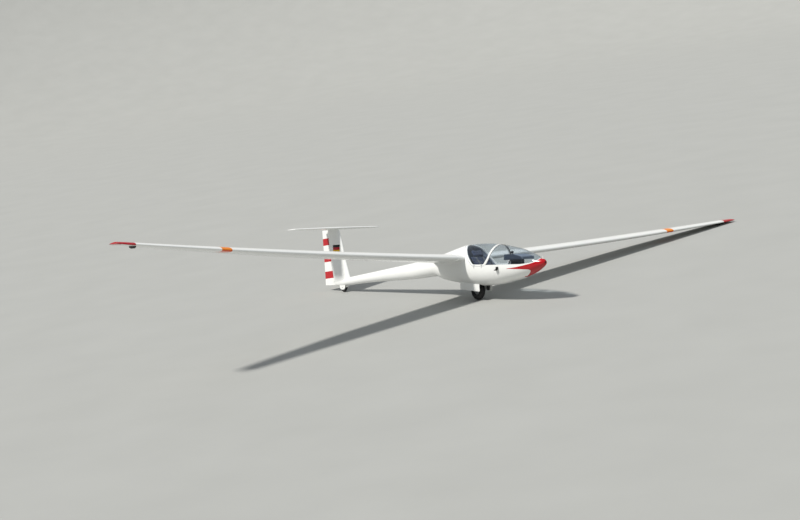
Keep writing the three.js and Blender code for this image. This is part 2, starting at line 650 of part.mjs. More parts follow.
// Pod: the front of the fuselage, hollow ahead of the wing, with the canopy opening, wheel well and nose inlet.
function podBody() {
  const whole = fuselageBody(POD_END, 1928);
  const well = block([WELL.rear, WELL.front], [-WELL.half, WELL.half], [-700, WELL.roof]);
  const inlet = rod(v(1800, 0, AIR_INLET.z), v(1940, 0, AIR_INLET.z), AIR_INLET.radius);
  return cut(whole, cabin, canopyRegion([-600, 1900], 0), well, inlet);
}

// The pod in four lengths that meet at its frames: behind the cockpit, round the seat, round the shins and the nose.
function podSections(pod) {
  const [rear, knees, feet] = POD_FRAMES;
  const length = (from, to) => pod.intersect(block([from, to], [-400, 400], [-700, 400]));
  return {
    centre: length(POD_END, rear - TOUCH),
    tub: length(rear, knees),
    front: length(knees + TOUCH, feet),
    nose: length(feet + TOUCH, 1950),
  };
}

// Cockpit furniture
function furniture(piece) {
  return sideSlab(piece.outline, [-piece.half, piece.half]);
}

const seatPan = () => furniture(SEAT_PAN).intersect(cabinClear);
const backrest = () => furniture(BACKREST).intersect(cabinClear);
const instrumentPod = () => join(furniture(PANEL_TOP), furniture(PANEL_STAND)).intersect(cabinClear);

function shelf() {
  const { from, to, top: deck, thick } = SHELF;
  return block([from, to], [-400, 400], [deck - thick, deck]).intersect(cabinClear);
}

function compass() {
  const { x, deck, base, ball, z } = COMPASS;
  const bowl = new THREE.SphereGeometry(ball, 14, 8);
  bowl.translate(x, 0, z);
  return join(rod(v(x, 0, deck + TOUCH), v(x, 0, z - ball + 4), base), solid(bowl));
}

function controlStick() {
  const [foot, bend, head] = [STICK.foot, STICK.bend, STICK.top].map(([x, z]) => v(x, 0, z));
  const boot = rod(foot, foot.clone().add(v(0, 0, 19)), STICK.boot);
  const tube = rod(foot.clone().add(v(0, 0, 14)), bend, STICK.radius);
  const grip = rod(bend.clone().add(v(-2, 0, -12)), head, ...STICK.grip);
  return join(boot, tube, grip);
}

function pedals() {
  const { x, z, bar, reach, inner, outer, floor, plate } = PEDALS;
  const cross = rod(v(x, -reach, z), v(x, reach, z), bar);
  const plates = [-1, 1].map((s) => sideSlab(plate, s > 0 ? [inner, outer] : [-outer, -inner]));
  const post = block([x - 15, x + 15], [-12, 12], [floor, z + 5]).intersect(cabinClear);
  return join(cross, ...plates, post);
}

function brakeLever() {
  const { from, to, z, at, handle } = LEVER;
  const rail = rod(v(...from, z), v(...to, z), LEVER.rail);
  const arm = rod(v(at, 243, z), v(at, 205, z + 20), LEVER.rail + 1);
  const grip = rod(v(at, 205, z - 10), v(at, 205, z + 65), handle);
  const mounts = LEVER.mounts.map((x) => rod(v(x, 240, z), v(x, 330, z), LEVER.rail + 1).intersect(cabinClear));
  return join(rail, arm, grip, ...mounts);
}

function noseRing() {
  const { z, ring, bore, from, to } = AIR_INLET;
  return rod(v(from, 0, z), v(to, 0, z), ring).subtract(rod(v(from - 10, 0, z), v(to + 9, 0, z), bore));
}

function nosePost() {
  const { x, from, to, radius } = NOSE_POST;
  return rod(v(x, 0, from), v(x, 0, to), radius).subtract(hullClear);
}

const sideScoop = () => sideSlab(SCOOP, [-330, -260]).subtract(hullClear);

function towHook() {
  const [x, z, radius] = TOW_HOOK.hole;
  return furniture(TOW_HOOK).subtract(hullClear).subtract(rod(v(x, -30, z), v(x, 30, z), radius));
}

// Canopy hinge along the right sill: brackets of the fuselage hold pins of the canopy's frame.
function addCanopyHinge(pod, frame) {
  const { y, z, at, wide, outer, pin, sill, skin: wall } = CANOPY_LUG;
  for (const x of at) {
    const knuckle = rod(v(x, y, z), v(x + wide, y, z), outer);
    const bracket = join(knuckle, block([x, x + wide], [y - outer, wall], [sill, z]));
    const hole = rod(v(x - 5, y, z), v(x + wide + 8, y, z), pin + PIN_CLEAR);
    const arms = [x - wide - 3, x + wide + 3].map((from) => join(
      rod(v(from, y, z), v(from + wide, y, z), outer),
      block([from, from + wide], [y, wall - 2], [z - outer, z + outer]),
    ));
    const bracketRoom = block([x - 2, x + wide + 2], [y - 12, wall + 15], [-165, z + 12]);
    pod = join(pod, bracket).subtract(hole);
    frame = join(cut(frame, bracketRoom), ...arms, rod(v(x - wide - 2, y, z), v(x + 2 * wide + 2, y, z), pin));
  }
  return { pod, frame };
}

// Assembly
const glider = new THREE.Group();

function addPiece(name, body, colour) {
  const [hex, roughness, metalness] = COLOURS[colour];
  const material = new THREE.MeshStandardMaterial({ color: hex, roughness, metalness });
  const mesh = new THREE.Mesh(geometryOf(body), material);
  mesh.name = name;
  glider.add(mesh);
  return mesh;
}

const canopy = canopyParts();
const hinged = addCanopyHinge(podBody(), canopy.frame);
const pod = podSections(hinged.pod);
addPiece('fuselage_centre', pod.centre, 'white');
addPiece('fuselage_tub', pod.tub, 'white');
addPiece('fuselage_front', pod.front, 'white');
addPiece('fuselage_nose', pod.nose, 'white');
addPiece('canopy_frame', hinged.frame, 'white').userData.hinge = [v(0, CANOPY_LUG.y, CANOPY_LUG.z),
  v(1, CANOPY_LUG.y, CANOPY_LUG.z)];
addPiece('canopy_glass', canopy.glass, 'glass');
addPiece('windscreen_hoop', canopy.hoop, 'white');
addPiece('windscreen_glass', canopy.screen, 'glass');

for (const [name, side] of [['left', 1], ['right', -1]]) {
  const parts = wingParts(side);
  addPiece(`wing_${name}`, parts.wing, 'white');
  addPiece(`aileron_${name}`, parts.aileron, 'white').userData.hinge = parts.hinge;
  addPiece(`airbrake_${name}`, parts.brake, 'white').userData.slide = parts.slide;
  addPiece(`tip_skid_${name}`, tipSkid(side), 'dark');
  addPiece(`gear_door_${name}`, gearDoor(side), 'grey');
}

const tail = tailParts();
addPiece('tail_boom', tail.boom, 'white');
addPiece('fin', tail.fin, 'white');
addPiece('rudder', tail.rudder, 'white').userData.hinge = rudderHinge;
const top = tailplaneParts();
addPiece('tailplane', top.tailplane, 'white');
addPiece('elevator', top.elevator, 'white');

const gear = mainGear();
addPiece('wheel_box', wheelBox(), 'grey');
addPiece('gear_legs', gear.legs, 'steel');
addPiece('main_axle', gear.axle, 'steel');
addPiece('main_hub', hub(MAIN_WHEEL), 'steel');
addPiece('main_tyre', tyre(MAIN_WHEEL), 'tyre');
const small = tailGear();
addPiece('tail_fork', small.fork, 'white');
addPiece('tail_axle', small.axle, 'steel');
addPiece('tail_hub', hub(TAIL_WHEEL), 'steel');
addPiece('tail_tyre', tyre(TAIL_WHEEL), 'tyre');

addPiece('seat_pan', seatPan(), 'grey');
addPiece('backrest', backrest(), 'seat');
addPiece('headrest', furniture(HEADREST), 'seat');
addPiece('shelf', shelf(), 'grey');
addPiece('instrument_pod', instrumentPod(), 'panel');
addPiece('compass', compass(), 'black');
addPiece('control_stick', controlStick(), 'black');
addPiece('rudder_pedals', pedals(), 'steel');
addPiece('airbrake_lever', brakeLever(), 'steel');
addPiece('nose_inlet', noseRing(), 'black');
addPiece('nose_post', nosePost(), 'white');
addPiece('side_scoop', sideScoop(), 'dark');
addPiece('tow_hook', towHook(), 'darkSteel');

// Parked attitude: the up direction, seen from the glider, that puts both tyres and the left skid on one plane.
function parkedUp() {
  const skid = TIP_SKID;
  const lead = wingPoint(skid.y, 0.18, -wingHalfThickness(skid.y, 0.3));
  const foot = v(lead.x - skid.length + 60, skid.y + skid.width / 2, lead.z - skid.depth);
  const drop = ({ x, z, ring, tube }, up) => v(x, 0, z).dot(up) - ring * Math.sqrt(1 - up.y ** 2) - tube;
  let up = v(0, 0, 1);
  for (let i = 0; i < 60; i += 1) {
    const main = drop(MAIN_WHEEL, up);
    const tailGap = drop(TAIL_WHEEL, up) - main;
    const tipGap = foot.dot(up) - main;
    up = v(up.x + tailGap / 4400, up.y - tipGap / skid.y, up.z).normalize();
  }
  return up;
}

const up = parkedUp();
const forward = v(1, 0, 0).addScaledVector(up, -up.x).normalize();
const parked = new THREE.Matrix4().makeBasis(forward, up.clone().cross(forward), up).transpose();
glider.applyMatrix4(parked);

const row = new THREE.Group();
row.add(glider);
row.updateMatrixWorld(true);
const bounds = new THREE.Box3().setFromObject(row, true);
const middle = bounds.getCenter(new THREE.Vector3());
row.position.set(-middle.x, -middle.y, -bounds.min.z);
row.updateMatrixWorld(true);

export default row;
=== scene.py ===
from math import acos, copysign, cos, exp, pi, radians, sin, sqrt

import bmesh
import bpy
from mathutils import Matrix, Vector
from mathutils.bvhtree import BVHTree


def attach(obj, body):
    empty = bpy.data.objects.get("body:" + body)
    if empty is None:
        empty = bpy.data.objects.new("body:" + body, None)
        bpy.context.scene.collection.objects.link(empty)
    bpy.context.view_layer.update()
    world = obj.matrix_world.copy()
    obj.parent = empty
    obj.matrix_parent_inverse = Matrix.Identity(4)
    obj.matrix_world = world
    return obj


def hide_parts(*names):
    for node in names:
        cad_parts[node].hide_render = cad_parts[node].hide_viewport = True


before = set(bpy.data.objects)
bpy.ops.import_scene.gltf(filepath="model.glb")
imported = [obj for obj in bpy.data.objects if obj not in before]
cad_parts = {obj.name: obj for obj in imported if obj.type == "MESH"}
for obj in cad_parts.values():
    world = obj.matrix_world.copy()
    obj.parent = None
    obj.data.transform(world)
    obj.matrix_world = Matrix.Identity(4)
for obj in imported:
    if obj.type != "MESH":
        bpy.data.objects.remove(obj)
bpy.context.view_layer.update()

# The pieces are modelled with the glider level, in metres: X to the nose, Y to its left wing, Z up, and the
# origin on the centre line at the leading edge of the wing root. PARKED sets a piece down as the frame
# stands: UP is the floor's upward direction as the glider sees it.
UP = Vector((0.052337, -0.169446, 0.984149)).normalized()
FORWARD = (Vector((1, 0, 0)) - UP * UP.x).normalized()
PARKED = (Matrix.Translation((1.599322, -0.094497, 0.777866))
          @ Matrix((FORWARD, UP.cross(FORWARD), UP)).to_4x4())
SIDES = (("left", 1), ("right", -1))

# Fuselage sections. Columns: x, top, bottom, half width, height of the widest point, roundness above,
# below.
FUSELAGE = ((-4.790, -0.300, -0.412, 0.034, -0.356, 2.0, 2.0),
            (-4.480, -0.279, -0.433, 0.058, -0.356, 2.0, 2.0),
            (-4.180, -0.248, -0.415, 0.074, -0.330, 2.0, 2.1),
            (-3.230, -0.153, -0.372, 0.103, -0.262, 2.0, 2.1),
            (-1.940, -0.021, -0.343, 0.140, -0.182, 2.0, 2.1),
            (-1.500, 0.028, -0.322, 0.164, -0.150, 2.0, 2.1),
            (-1.180, 0.074, -0.308, 0.190, -0.125, 2.0, 2.1),
            (-0.925, 0.124, -0.376, 0.222, -0.112, 2.0, 2.1),
            (-0.730, 0.165, -0.412, 0.246, -0.108, 2.0, 2.2),
            (-0.480, 0.217, -0.450, 0.270, -0.108, 2.0, 2.25),
            (-0.237, 0.261, -0.482, 0.286, -0.112, 2.0, 2.3),
            (0.000, 0.277, -0.507, 0.296, -0.122, 2.05, 2.3),
            (0.250, 0.279, -0.521, 0.300, -0.134, 2.05, 2.3),
            (0.495, 0.266, -0.517, 0.300, -0.142, 2.05, 2.3),
            (0.796, 0.233, -0.496, 0.291, -0.148, 2.05, 2.3),
            (1.050, 0.191, -0.456, 0.273, -0.151, 2.05, 2.2),
            (1.225, 0.157, -0.428, 0.254, -0.152, 2.05, 2.2),
            (1.490, 0.081, -0.366, 0.208, -0.150, 2.05, 2.1),
            (1.690, 0.008, -0.301, 0.156, -0.146, 2.0, 2.0),
            (1.805, -0.054, -0.247, 0.111, -0.143, 2.0, 2.0),
            (1.880, -0.074, -0.208, 0.073, -0.140, 2.0, 2.0),
            (1.912, -0.092, -0.184, 0.048, -0.138, 2.0, 2.0),
            (1.928, -0.112, -0.162, 0.025, -0.137, 2.0, 2.0))
NOSE = 1.928
CABIN, INNER = (-0.270, 1.845), 0.985
WALL, PANE, TOUCH, CLEAR, PIN_CLEAR = 0.014, 0.004, 0.0003, 0.005, 0.0004

# Canopy in side view, x and z: its edge from the rear seam along the sill to the front, and the seam at its
# arch
CANOPY_EDGE = ((-0.300, 0.330), (-0.235, 0.275), (-0.209, 0.255), (-0.105, 0.190), (-0.025, 0.107),
               (0.045, 0.024), (0.122, -0.059), (0.165, -0.105), (0.205, -0.135), (0.250, -0.147),
               (0.548, -0.152), (0.578, -0.134), (1.000, -0.140), (1.268, -0.143), (1.466, -0.146),
               (1.651, -0.133), (1.751, -0.116), (1.805, -0.090), (1.822, -0.050), (1.824, 0.400))
ARCH = ((0.520, -0.200), (0.560, -0.151), (0.581, -0.121), (0.646, -0.044), (0.684, 0.050), (0.711, 0.143),
        (0.726, 0.204), (0.731, 0.241), (0.733, 0.420))
CANOPY_RAIL, HOOP, FRAME_DEPTH = 0.030, 0.016, 0.012

# Wing sections. Columns: distance from the centre line, chord, thickness in parts of the chord, twist in
# degrees.
WING = ((0.150, 0.962, 0.155, 1.0), (0.420, 0.915, 0.152, 1.0), (1.600, 0.862, 0.150, 0.6),
        (2.800, 0.806, 0.150, 0.3), (4.300, 0.732, 0.150, 0.0), (5.600, 0.604, 0.148, -0.4),
        (7.050, 0.442, 0.140, -1.0), (7.380, 0.396, 0.130, -1.2), (7.470, 0.340, 0.120, -1.2),
        (7.500, 0.262, 0.090, -1.2))
SWEEP, RISE, CURVE, INCIDENCE = 0.02, 0.051, 0.003, 2.5
CAMBER, CAMBER_AT = 0.032, 0.42
AILERON = (4.320, 7.060, 0.8)
BRAKE_SPAN, BRAKE_AT, BRAKE_BOX, BRAKE_CAP, BRAKE_BLADE = (2.080, 3.420), 0.52, 0.026, 0.060, 0.008
BRAKE_HEIGHT, BRAKE_DEPTH, BRAKE_LID, BRAKE_GUIDE = 0.074, 0.080, 0.006, 0.016

# Fin sections: height, leading and trailing edge x, thickness in parts of the chord. Tailplane sections:
# distance from the centre line, leading and trailing edge x, thickness in metres.
FIN = ((-0.400, -4.120, -5.070, 0.11), (-0.245, -4.166, -5.071, 0.115), (0.109, -4.284, -5.078, 0.12),
       (0.486, -4.390, -5.092, 0.12), (0.830, -4.505, -5.104, 0.12))
RUDDER_HINGE = (Vector((-4.706, 0, -0.400)), Vector((-4.890, 0, 0.800)))
RUDDER_TOP, RUDDER_FOOT, FIN_FOOT = 0.772, -0.399, -0.270
TAILPLANE = ((0.0, -4.455, -4.962, 0.058), (0.700, -4.488, -4.894, 0.045), (1.040, -4.508, -4.856, 0.034),
             (1.085, -4.522, -4.846, 0.024), (1.094, -4.550, -4.830, 0.012))
TAILPLANE_Z, ELEVATOR_X, ELEVATOR_ROOT, TAILPLANE_MIDDLE, TORQUE_ROD = 0.803, -4.780, 0.136, 0.128, 0.008


# Mesh helpers
def smooth(table, at, column):
    """The value of a table's column between its rows, with no overshoot. The first column rises."""
    last = len(table) - 1
    if at <= table[0][0]:
        return table[0][column]
    if at >= table[last][0]:
        return table[last][column]
    i = next(k for k in range(last) if table[k + 1][0] > at)

    def slope(k):
        return (table[k + 1][column] - table[k][column]) / (table[k + 1][0] - table[k][0])

    def tangent(k):
        if k == 0 or k == last:
            return slope(min(k, last - 1))
        before, after = slope(k - 1), slope(k)
        return 2 * before * after / (before + after) if before * after > 0 else 0.0

    step = table[i + 1][0] - table[i][0]
    t = (at - table[i][0]) / step
    return ((2 * t**3 - 3 * t**2 + 1) * table[i][column] + (t**3 - 2 * t**2 + t) * tangent(i) * step
            + (3 * t**2 - 2 * t**3) * table[i + 1][column] + (t**3 - t**2) * tangent(i + 1) * step)


def row(table, at):
    """All columns of a table between its rows."""
    return [smooth(table, at, column) for column in range(1, len(table[0]))]


def between(start, end, count):
    return [start + (end - start) * i / count for i in range(count + 1)]


def sheet(rows, columns, place, ends=True):
    """A grid of rows and columns put in place by place(row, column), welded where its edges meet, with shut
    ends."""
    bm = bmesh.new()
    bmesh.ops.create_grid(bm, x_segments=columns, y_segments=rows, size=1, calc_uvs=True)
    for vert in bm.verts:
        vert.co = place(round((vert.co.y + 1) / 2 * rows), round((vert.co.x + 1) / 2 * columns))
    bmesh.ops.remove_doubles(bm, verts=bm.verts, dist=1e-6)
    if ends:
        bmesh.ops.holes_fill(bm, edges=[e for e in bm.edges if e.is_boundary], sides=0)
        bmesh.ops.recalc_face_normals(bm, faces=bm.faces)
    return bm


def box(xs, ys, zs):
    bm = bmesh.new()
    sizes = [max(r) - min(r) for r in (xs, ys, zs)]
    middle = Vector([(r[0] + r[1]) / 2 for r in (xs, ys, zs)])
    bmesh.ops.create_cube(bm, size=1, matrix=Matrix.Translation(middle) @ Matrix.Diagonal((*sizes, 1)))
    return bm


def rod(start, end, radius, radius_end=None, sides=24):
    start, end = Vector(start), Vector(end)
    turn = (end - start).to_track_quat("Z", "Y").to_matrix().to_4x4()
    bm = bmesh.new()
    bmesh.ops.create_cone(bm, cap_ends=True, segments=sides, radius1=radius,
                          radius2=radius if radius_end is None else radius_end, depth=(end - start).length,
                          matrix=Matrix.Translation((start + end) / 2) @ turn)
    return bm


def slab(outline, ys):
    """A side-view outline of x and z points as a slab between two values of y."""
    bm = bmesh.new()
    face = bm.faces.new([bm.verts.new((x, ys[0], z)) for x, z in outline])
    grown = bmesh.ops.extrude_face_region(bm, geom=[face])
    verts = [g for g in grown["geom"] if isinstance(g, bmesh.types.BMVert)]
    bmesh.ops.translate(bm, verts=verts, vec=(0, ys[1] - ys[0], 0))
    bmesh.ops.recalc_face_normals(bm, faces=bm.faces)
    return bm


def meshed(name, bm):
    mesh = bpy.data.meshes.new(name)
    bm.to_mesh(mesh)
    bm.free()
    return mesh


def linked(name, data):
    obj = bpy.data.objects.new(name, data)
    bpy.context.scene.collection.objects.link(obj)
    return obj


def evaluated(obj):
    """The object with its modifiers at work."""
    bpy.context.view_layer.update()
    return obj.evaluated_get(bpy.context.evaluated_depsgraph_get())


def merged(*parts):
    """One mesh of several, side by side."""
    whole = parts[0]
    for part in parts[1:]:
        mesh = meshed("part", part)
        whole.from_mesh(mesh)
        bpy.data.meshes.remove(mesh)
    return whole


CUT, JOIN, KEEP = "DIFFERENCE", "UNION", "INTERSECT"


def worked(bm, *steps):
    """The body after each step of cutting away, joining, or keeping what it shares with another solid."""
    for operation, tool in steps:
        base, other = (linked("work", meshed("work", part)) for part in (bm, tool))
        step = base.modifiers.new("step", "BOOLEAN")
        step.operation, step.solver, step.object = operation, "EXACT", other
        bm = bmesh.new()
        bm.from_mesh(evaluated(base).to_mesh())
        # Points that one cut leaves doubled would spoil the next
        bmesh.ops.remove_doubles(bm, verts=bm.verts, dist=1e-7)
        for obj in (base, other):
            mesh = obj.data
            bpy.data.objects.remove(obj)
            bpy.data.meshes.remove(mesh)
    return bm


def piece(name, bm, materials, body="airframe", stands_for=(), crease=32):
    """The finished piece: its mesh set down as parked, smooth but for edges sharper than crease, riding on
    a body. Its faces take the first of its materials unless they were repainted."""
    seams = [edge for edge in bm.edges if edge.is_boundary]
    if seams:
        bmesh.ops.holes_fill(bm, edges=seams, sides=0)
    bmesh.ops.transform(bm, matrix=PARKED, verts=bm.verts)
    mesh = meshed(name, bm)
    materials = materials if isinstance(materials, list) else [materials]
    for material in materials:
        mesh.materials.append(material)
    mesh.shade_smooth()
    mesh.set_sharp_from_angle(angle=radians(crease))
    obj = linked(name, mesh)
    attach(obj, body)
    if stands_for:
        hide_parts(*([stands_for] if isinstance(stands_for, str) else stands_for))
    return obj


def curved(line, steps=6):
    """A line of points with a smooth run between them, and no overshoot where they lie close together."""
    points = [Vector(point) for point in line]
    last = len(points) - 1

    def way(i):
        before, after = points[max(i - 1, 0)], points[min(i + 1, last)]
        return (after - before) / ((after - points[i]).length + (points[i] - before).length)

    run = []
    for i in range(last):
        start, end = points[i], points[i + 1]
        reach = (end - start).length
        for step in range(steps):
            t = step / steps
            run.append((2 * t**3 - 3 * t**2 + 1) * start + (t**3 - 2 * t**2 + t) * reach * way(i)
                       + (3 * t**2 - 2 * t**3) * end + (t**3 - t**2) * reach * way(i + 1))
    return run + [points[-1]]


def offset_line(line, distance):
    """A side-view line moved by a distance to the right of the way it runs, without the loops of tight
    bends."""
    points = [Vector(point) for point in line]
    ways = [(b - a).normalized() for a, b in zip(points, points[1:])]

    def clearance(spot):
        nearest = []
        for a, b in zip(points, points[1:]):
            share = min(max((spot - a).dot(b - a) / (b - a).length_squared, 0), 1)
            nearest.append((spot - a.lerp(b, share)).length)
        return min(nearest)

    moved = []
    for i, point in enumerate(points):
        after = ways[min(i, len(ways) - 1)]
        mean = (ways[max(i - 1, 0)] + after).normalized()
        spot = point + Vector((mean.y, -mean.x)) * (distance / mean.dot(after))
        if clearance(spot) > abs(distance) * 0.995 - 1e-6:
            moved.append(spot)
    return moved


def turned(profile, x, z, steps=96):
    """A ring turned round a line along Y through x and z. The profile is a closed run of radius and y."""
    bm = bmesh.new()
    verts = [bm.verts.new((x + radius, y, z)) for radius, y in profile]
    edges = [bm.edges.new((a, b)) for a, b in zip(verts, verts[1:] + verts[:1])]
    bmesh.ops.spin(bm, geom=verts + edges, cent=(x, 0, z), axis=(0, 1, 0), angle=2 * pi, steps=steps,
                   use_merge=True)
    bmesh.ops.remove_doubles(bm, verts=bm.verts, dist=1e-6)
    bmesh.ops.recalc_face_normals(bm, faces=bm.faces)
    return bm


def pole(profile, start, end, steps=32):
    """A turned piece along a line: the profile runs from axis to axis as distance along and radius."""
    bm = bmesh.new()
    verts = [bm.verts.new((radius, 0, at)) for at, radius in profile]
    edges = [bm.edges.new((a, b)) for a, b in zip(verts, verts[1:])]
    bmesh.ops.spin(bm, geom=verts + edges, cent=(0, 0, 0), axis=(0, 0, 1), angle=2 * pi, steps=steps,
                   use_merge=True)
    bmesh.ops.remove_doubles(bm, verts=bm.verts, dist=1e-6)
    bmesh.ops.recalc_face_normals(bm, faces=bm.faces)
    start, end = Vector(start), Vector(end)
    turn = (end - start).to_track_quat("Z", "Y").to_matrix().to_4x4()
    bmesh.ops.transform(bm, matrix=Matrix.Translation(start) @ turn, verts=bm.verts)
    return bm


def tube(line, radius, sides=16):
    """A tube of one section along a line of points, with shut ends."""
    points = [Vector(point) for point in line]
    ways = [(points[min(i + 1, len(points) - 1)] - points[max(i - 1, 0)]).normalized()
            for i in range(len(points))]
    across = ways[0].orthogonal().normalized()
    frames = []
    for way in ways:
        across = (across - way * across.dot(way)).normalized()
        frames.append((across.copy(), way.cross(across)))

    def place(row, column):
        turn = 2 * pi * (column % sides) / sides
        side, top = frames[row]
        return points[row] + side * (radius * cos(turn)) + top * (radius * sin(turn))

    return sheet(len(points) - 1, sides, place)


def softened(bm, width, segments=2, angle=35):
    """Rounds the edges that are sharper than an angle."""
    bmesh.ops.remove_doubles(bm, verts=bm.verts, dist=1e-6)
    edges = [e for e in bm.edges if e.is_manifold and e.calc_face_angle(0) > radians(angle)]
    bmesh.ops.bevel(bm, geom=edges, offset=width, segments=segments, profile=0.5, affect="EDGES",
                    material=-1, clamp_overlap=True)
    return bm


def bolt(at, way, size=0.005):
    """A hexagon head on its washer."""
    at, way = Vector(at), Vector(way).normalized()
    head = softened(rod(at, at + way * size * 0.7, size, sides=6), size * 0.12)
    return merged(head, rod(at, at + way * size * 0.2, size * 1.35, sides=20))


def repaint(bm, index, test):
    """Gives another of the piece's materials to the faces whose middle passes a test."""
    for face in bm.faces:
        if test(face.calc_center_median()):
            face.material_index = index


# Fuselage forms
def hull_point(x, turn, inset, table):
    """A point of the fuselage's surface. The turn runs from its left side over the top."""
    top, bottom, half, wide, above, below = table
    c, s = cos(turn), sin(turn)
    power = 2 / (above if s > 0 else below)
    height = (top - wide if s > 0 else wide - bottom) - inset
    return Vector((x, copysign(abs(c) ** power, c) * (half - inset),
                   wide + copysign(abs(s) ** power, s) * height))


def hull(start, end, inset=0.0, columns=96):
    grid = between(-4.80, 1.50, 168) + between(1.50, 1.93, 34)[1:]
    stations = [start] + [x for x in grid if start + 0.004 < x < end - 0.004] + [end]
    tables = [row(FUSELAGE, x) for x in stations]

    def place(row, column):
        return hull_point(stations[row], 2 * pi * (column % columns) / columns, inset, tables[row])

    return sheet(len(stations) - 1, columns, place)


def hull_share(co):
    """How far out a point lies: 1 on the fuselage's skin, less inside it."""
    top, bottom, half, wide, above, below = row(FUSELAGE, co.x)
    height, power = (top - wide, above) if co.z > wide else (wide - bottom, below)
    return (abs(co.y / half) ** power + abs((co.z - wide) / height) ** power) ** (1 / power)


def canopy_region(xs, grow):
    edge = offset_line(curved(CANOPY_EDGE[:-1], 4) + [Vector(CANOPY_EDGE[-1])], grow)
    high = edge[-1].y
    whole = slab([(edge[0].x, high)] + [tuple(point) for point in edge], (-0.4, 0.4))
    return worked(whole, (KEEP, box(xs, (-0.41, 0.41), (-0.5, high - 0.01))))


def behind_arch(offset):
    line = offset_line(curved(ARCH, 5), offset)
    return slab([(-0.6, line[0].y)] + [tuple(point) for point in line] + [(-0.6, line[-1].y)],
                (-0.42, 0.42))


def skin(depth):
    return worked(hull(-0.42, 1.90), (CUT, hull(-0.43, 1.86, depth)))


# Wing forms
def thickness(t, at):
    return 5 * t * (0.2969 * sqrt(at) - 0.126 * at - 0.3516 * at**2 + 0.2843 * at**3 - 0.1015 * at**4)


def camber_line(at):
    if at < CAMBER_AT:
        return CAMBER / CAMBER_AT**2 * (2 * CAMBER_AT * at - at**2)
    return CAMBER / (1 - CAMBER_AT) ** 2 * (1 - 2 * CAMBER_AT + 2 * CAMBER_AT * at - at**2)


def section(t, cambered, steps=28):
    """Points round a section of chord 1, from the upper trailing edge to the lower: distance back, and
    height."""
    shares = [1 - cos(pi * i / (2 * steps)) for i in range(steps + 1)]
    upper, lower = [], []
    for at in shares:
        middle, half = camber_line(at) if cambered else 0.0, thickness(t, at) + 0.0012 * at
        upper.append((at, middle + half))
        lower.append((at, middle - half))
    return upper[::-1] + lower[1:]


def wing_point(y, at, lift=0.0):
    """A point of the wing: its signed distance out, share of the chord and height above the chord in
    metres."""
    out = abs(y)
    chord, _, twist = row(WING, out)
    twist = radians(twist + INCIDENCE)
    lead = Vector((-SWEEP * out, y, RISE * out + CURVE * out**2))
    return lead + Vector((-chord * at * cos(twist) - lift * sin(twist), 0,
                          lift * cos(twist) - chord * at * sin(twist)))


def wing_half(y, at):
    return thickness(smooth(WING, abs(y), 2), at) * smooth(WING, abs(y), 1)


def wing_middle(y, at):
    return wing_point(y, at, camber_line(at) * smooth(WING, abs(y), 1))


def loft(rings):
    """A shut body through rings of as many points each."""
    columns = len(rings[0])
    return sheet(len(rings) - 1, columns, lambda row, column: rings[row][column % columns])


def wing_body(side, outs=None):
    outs = outs or between(0.15, 7.38, 60) + [7.41, 7.44, 7.465, 7.482, 7.493, 7.499, 7.5]
    rings = []
    for out in outs:
        chord, t, _ = row(WING, out)
        rings.append([wing_point(side * out, at, up * chord) for at, up in section(t, True)])
    return loft(rings)


# Hinge lines: a frame whose X runs along the line, Y towards the piece that carries it and Z across both
def hinge_frame(start, end):
    along = (end - start).normalized()
    ahead = (Vector((1, 0, 0)) - along * along.x).normalized()
    rotation = Matrix((along, ahead, along.cross(ahead))).transposed()
    return Matrix.Translation(start) @ rotation.to_4x4()


def set_in(frame_matrix, bm):
    bmesh.ops.transform(bm, matrix=frame_matrix, verts=bm.verts)
    return bm


def enclosing_radii(start, end, ends, middle_at, half_at):
    """Radii at the ends of a hinge line that take in the surface along it."""
    radii = [half_at(at) for at in ends]
    excess = 0.0
    for share in between(0, 1, 20):
        at = ends[0] + (ends[1] - ends[0]) * share
        off = (middle_at(at) - start.lerp(end, share)).length
        excess = max(excess, half_at(at) + off - (radii[0] + (radii[1] - radii[0]) * share))
    return [radius + excess + 0.0005 for radius in radii]


def split_at_hinge(whole, start, end, radii, ends, lugs, fitting, carrier=None):
    """Parts a surface at its hinge line: a round cove in the piece ahead, a round nose on the moving one,
    and the lugs, slots and pins of its fittings."""
    place = hinge_frame(start, end)
    length = (end - start).length
    lug, pin, thick, reach = fitting

    def behind(slack):
        return set_in(place, box((ends[0] - slack, length - ends[1] + slack), (-1.5, slack), (-0.3, 0.3)))

    def cone(slack, grow):
        return set_in(place, rod((ends[0] - slack, 0, 0), (length - ends[1] + slack, 0, 0), radii[0] + grow,
                                 radii[1] + grow, 48))

    def along(make):
        return merged(*(set_in(place, make(share)) for share in lugs))

    slots = along(lambda at: box((at - thick / 2 - 0.002, at + thick / 2 + 0.002), (-lug - 0.003, 0.2),
                                 (-0.2, 0.2)))
    pins = along(lambda at: rod((at - thick / 2 - 0.003, 0, 0), (at + thick / 2 + 0.003, 0, 0), pin,
                                sides=16))
    slotted = worked(whole.copy(), (CUT, slots))
    nose = worked(slotted.copy(), (KEEP, cone(0, 0)), (JOIN, pins))
    moving = worked(slotted, (KEEP, behind(0)), (JOIN, nose))
    plates = along(lambda at: box((at - thick / 2, at + thick / 2), (0, reach), (-lug, lug)))
    rounds = along(lambda at: rod((at - thick / 2, 0, 0), (at + thick / 2, 0, 0), lug))
    holes = along(lambda at: rod((at - thick, 0, 0), (at + thick, 0, 0), pin + PIN_CLEAR, sides=16))
    fixed = worked((carrier or whole).copy(), (CUT, behind(CLEAR)), (CUT, cone(CLEAR, CLEAR)),
                   (JOIN, plates), (JOIN, rounds), (CUT, holes))
    return fixed, moving


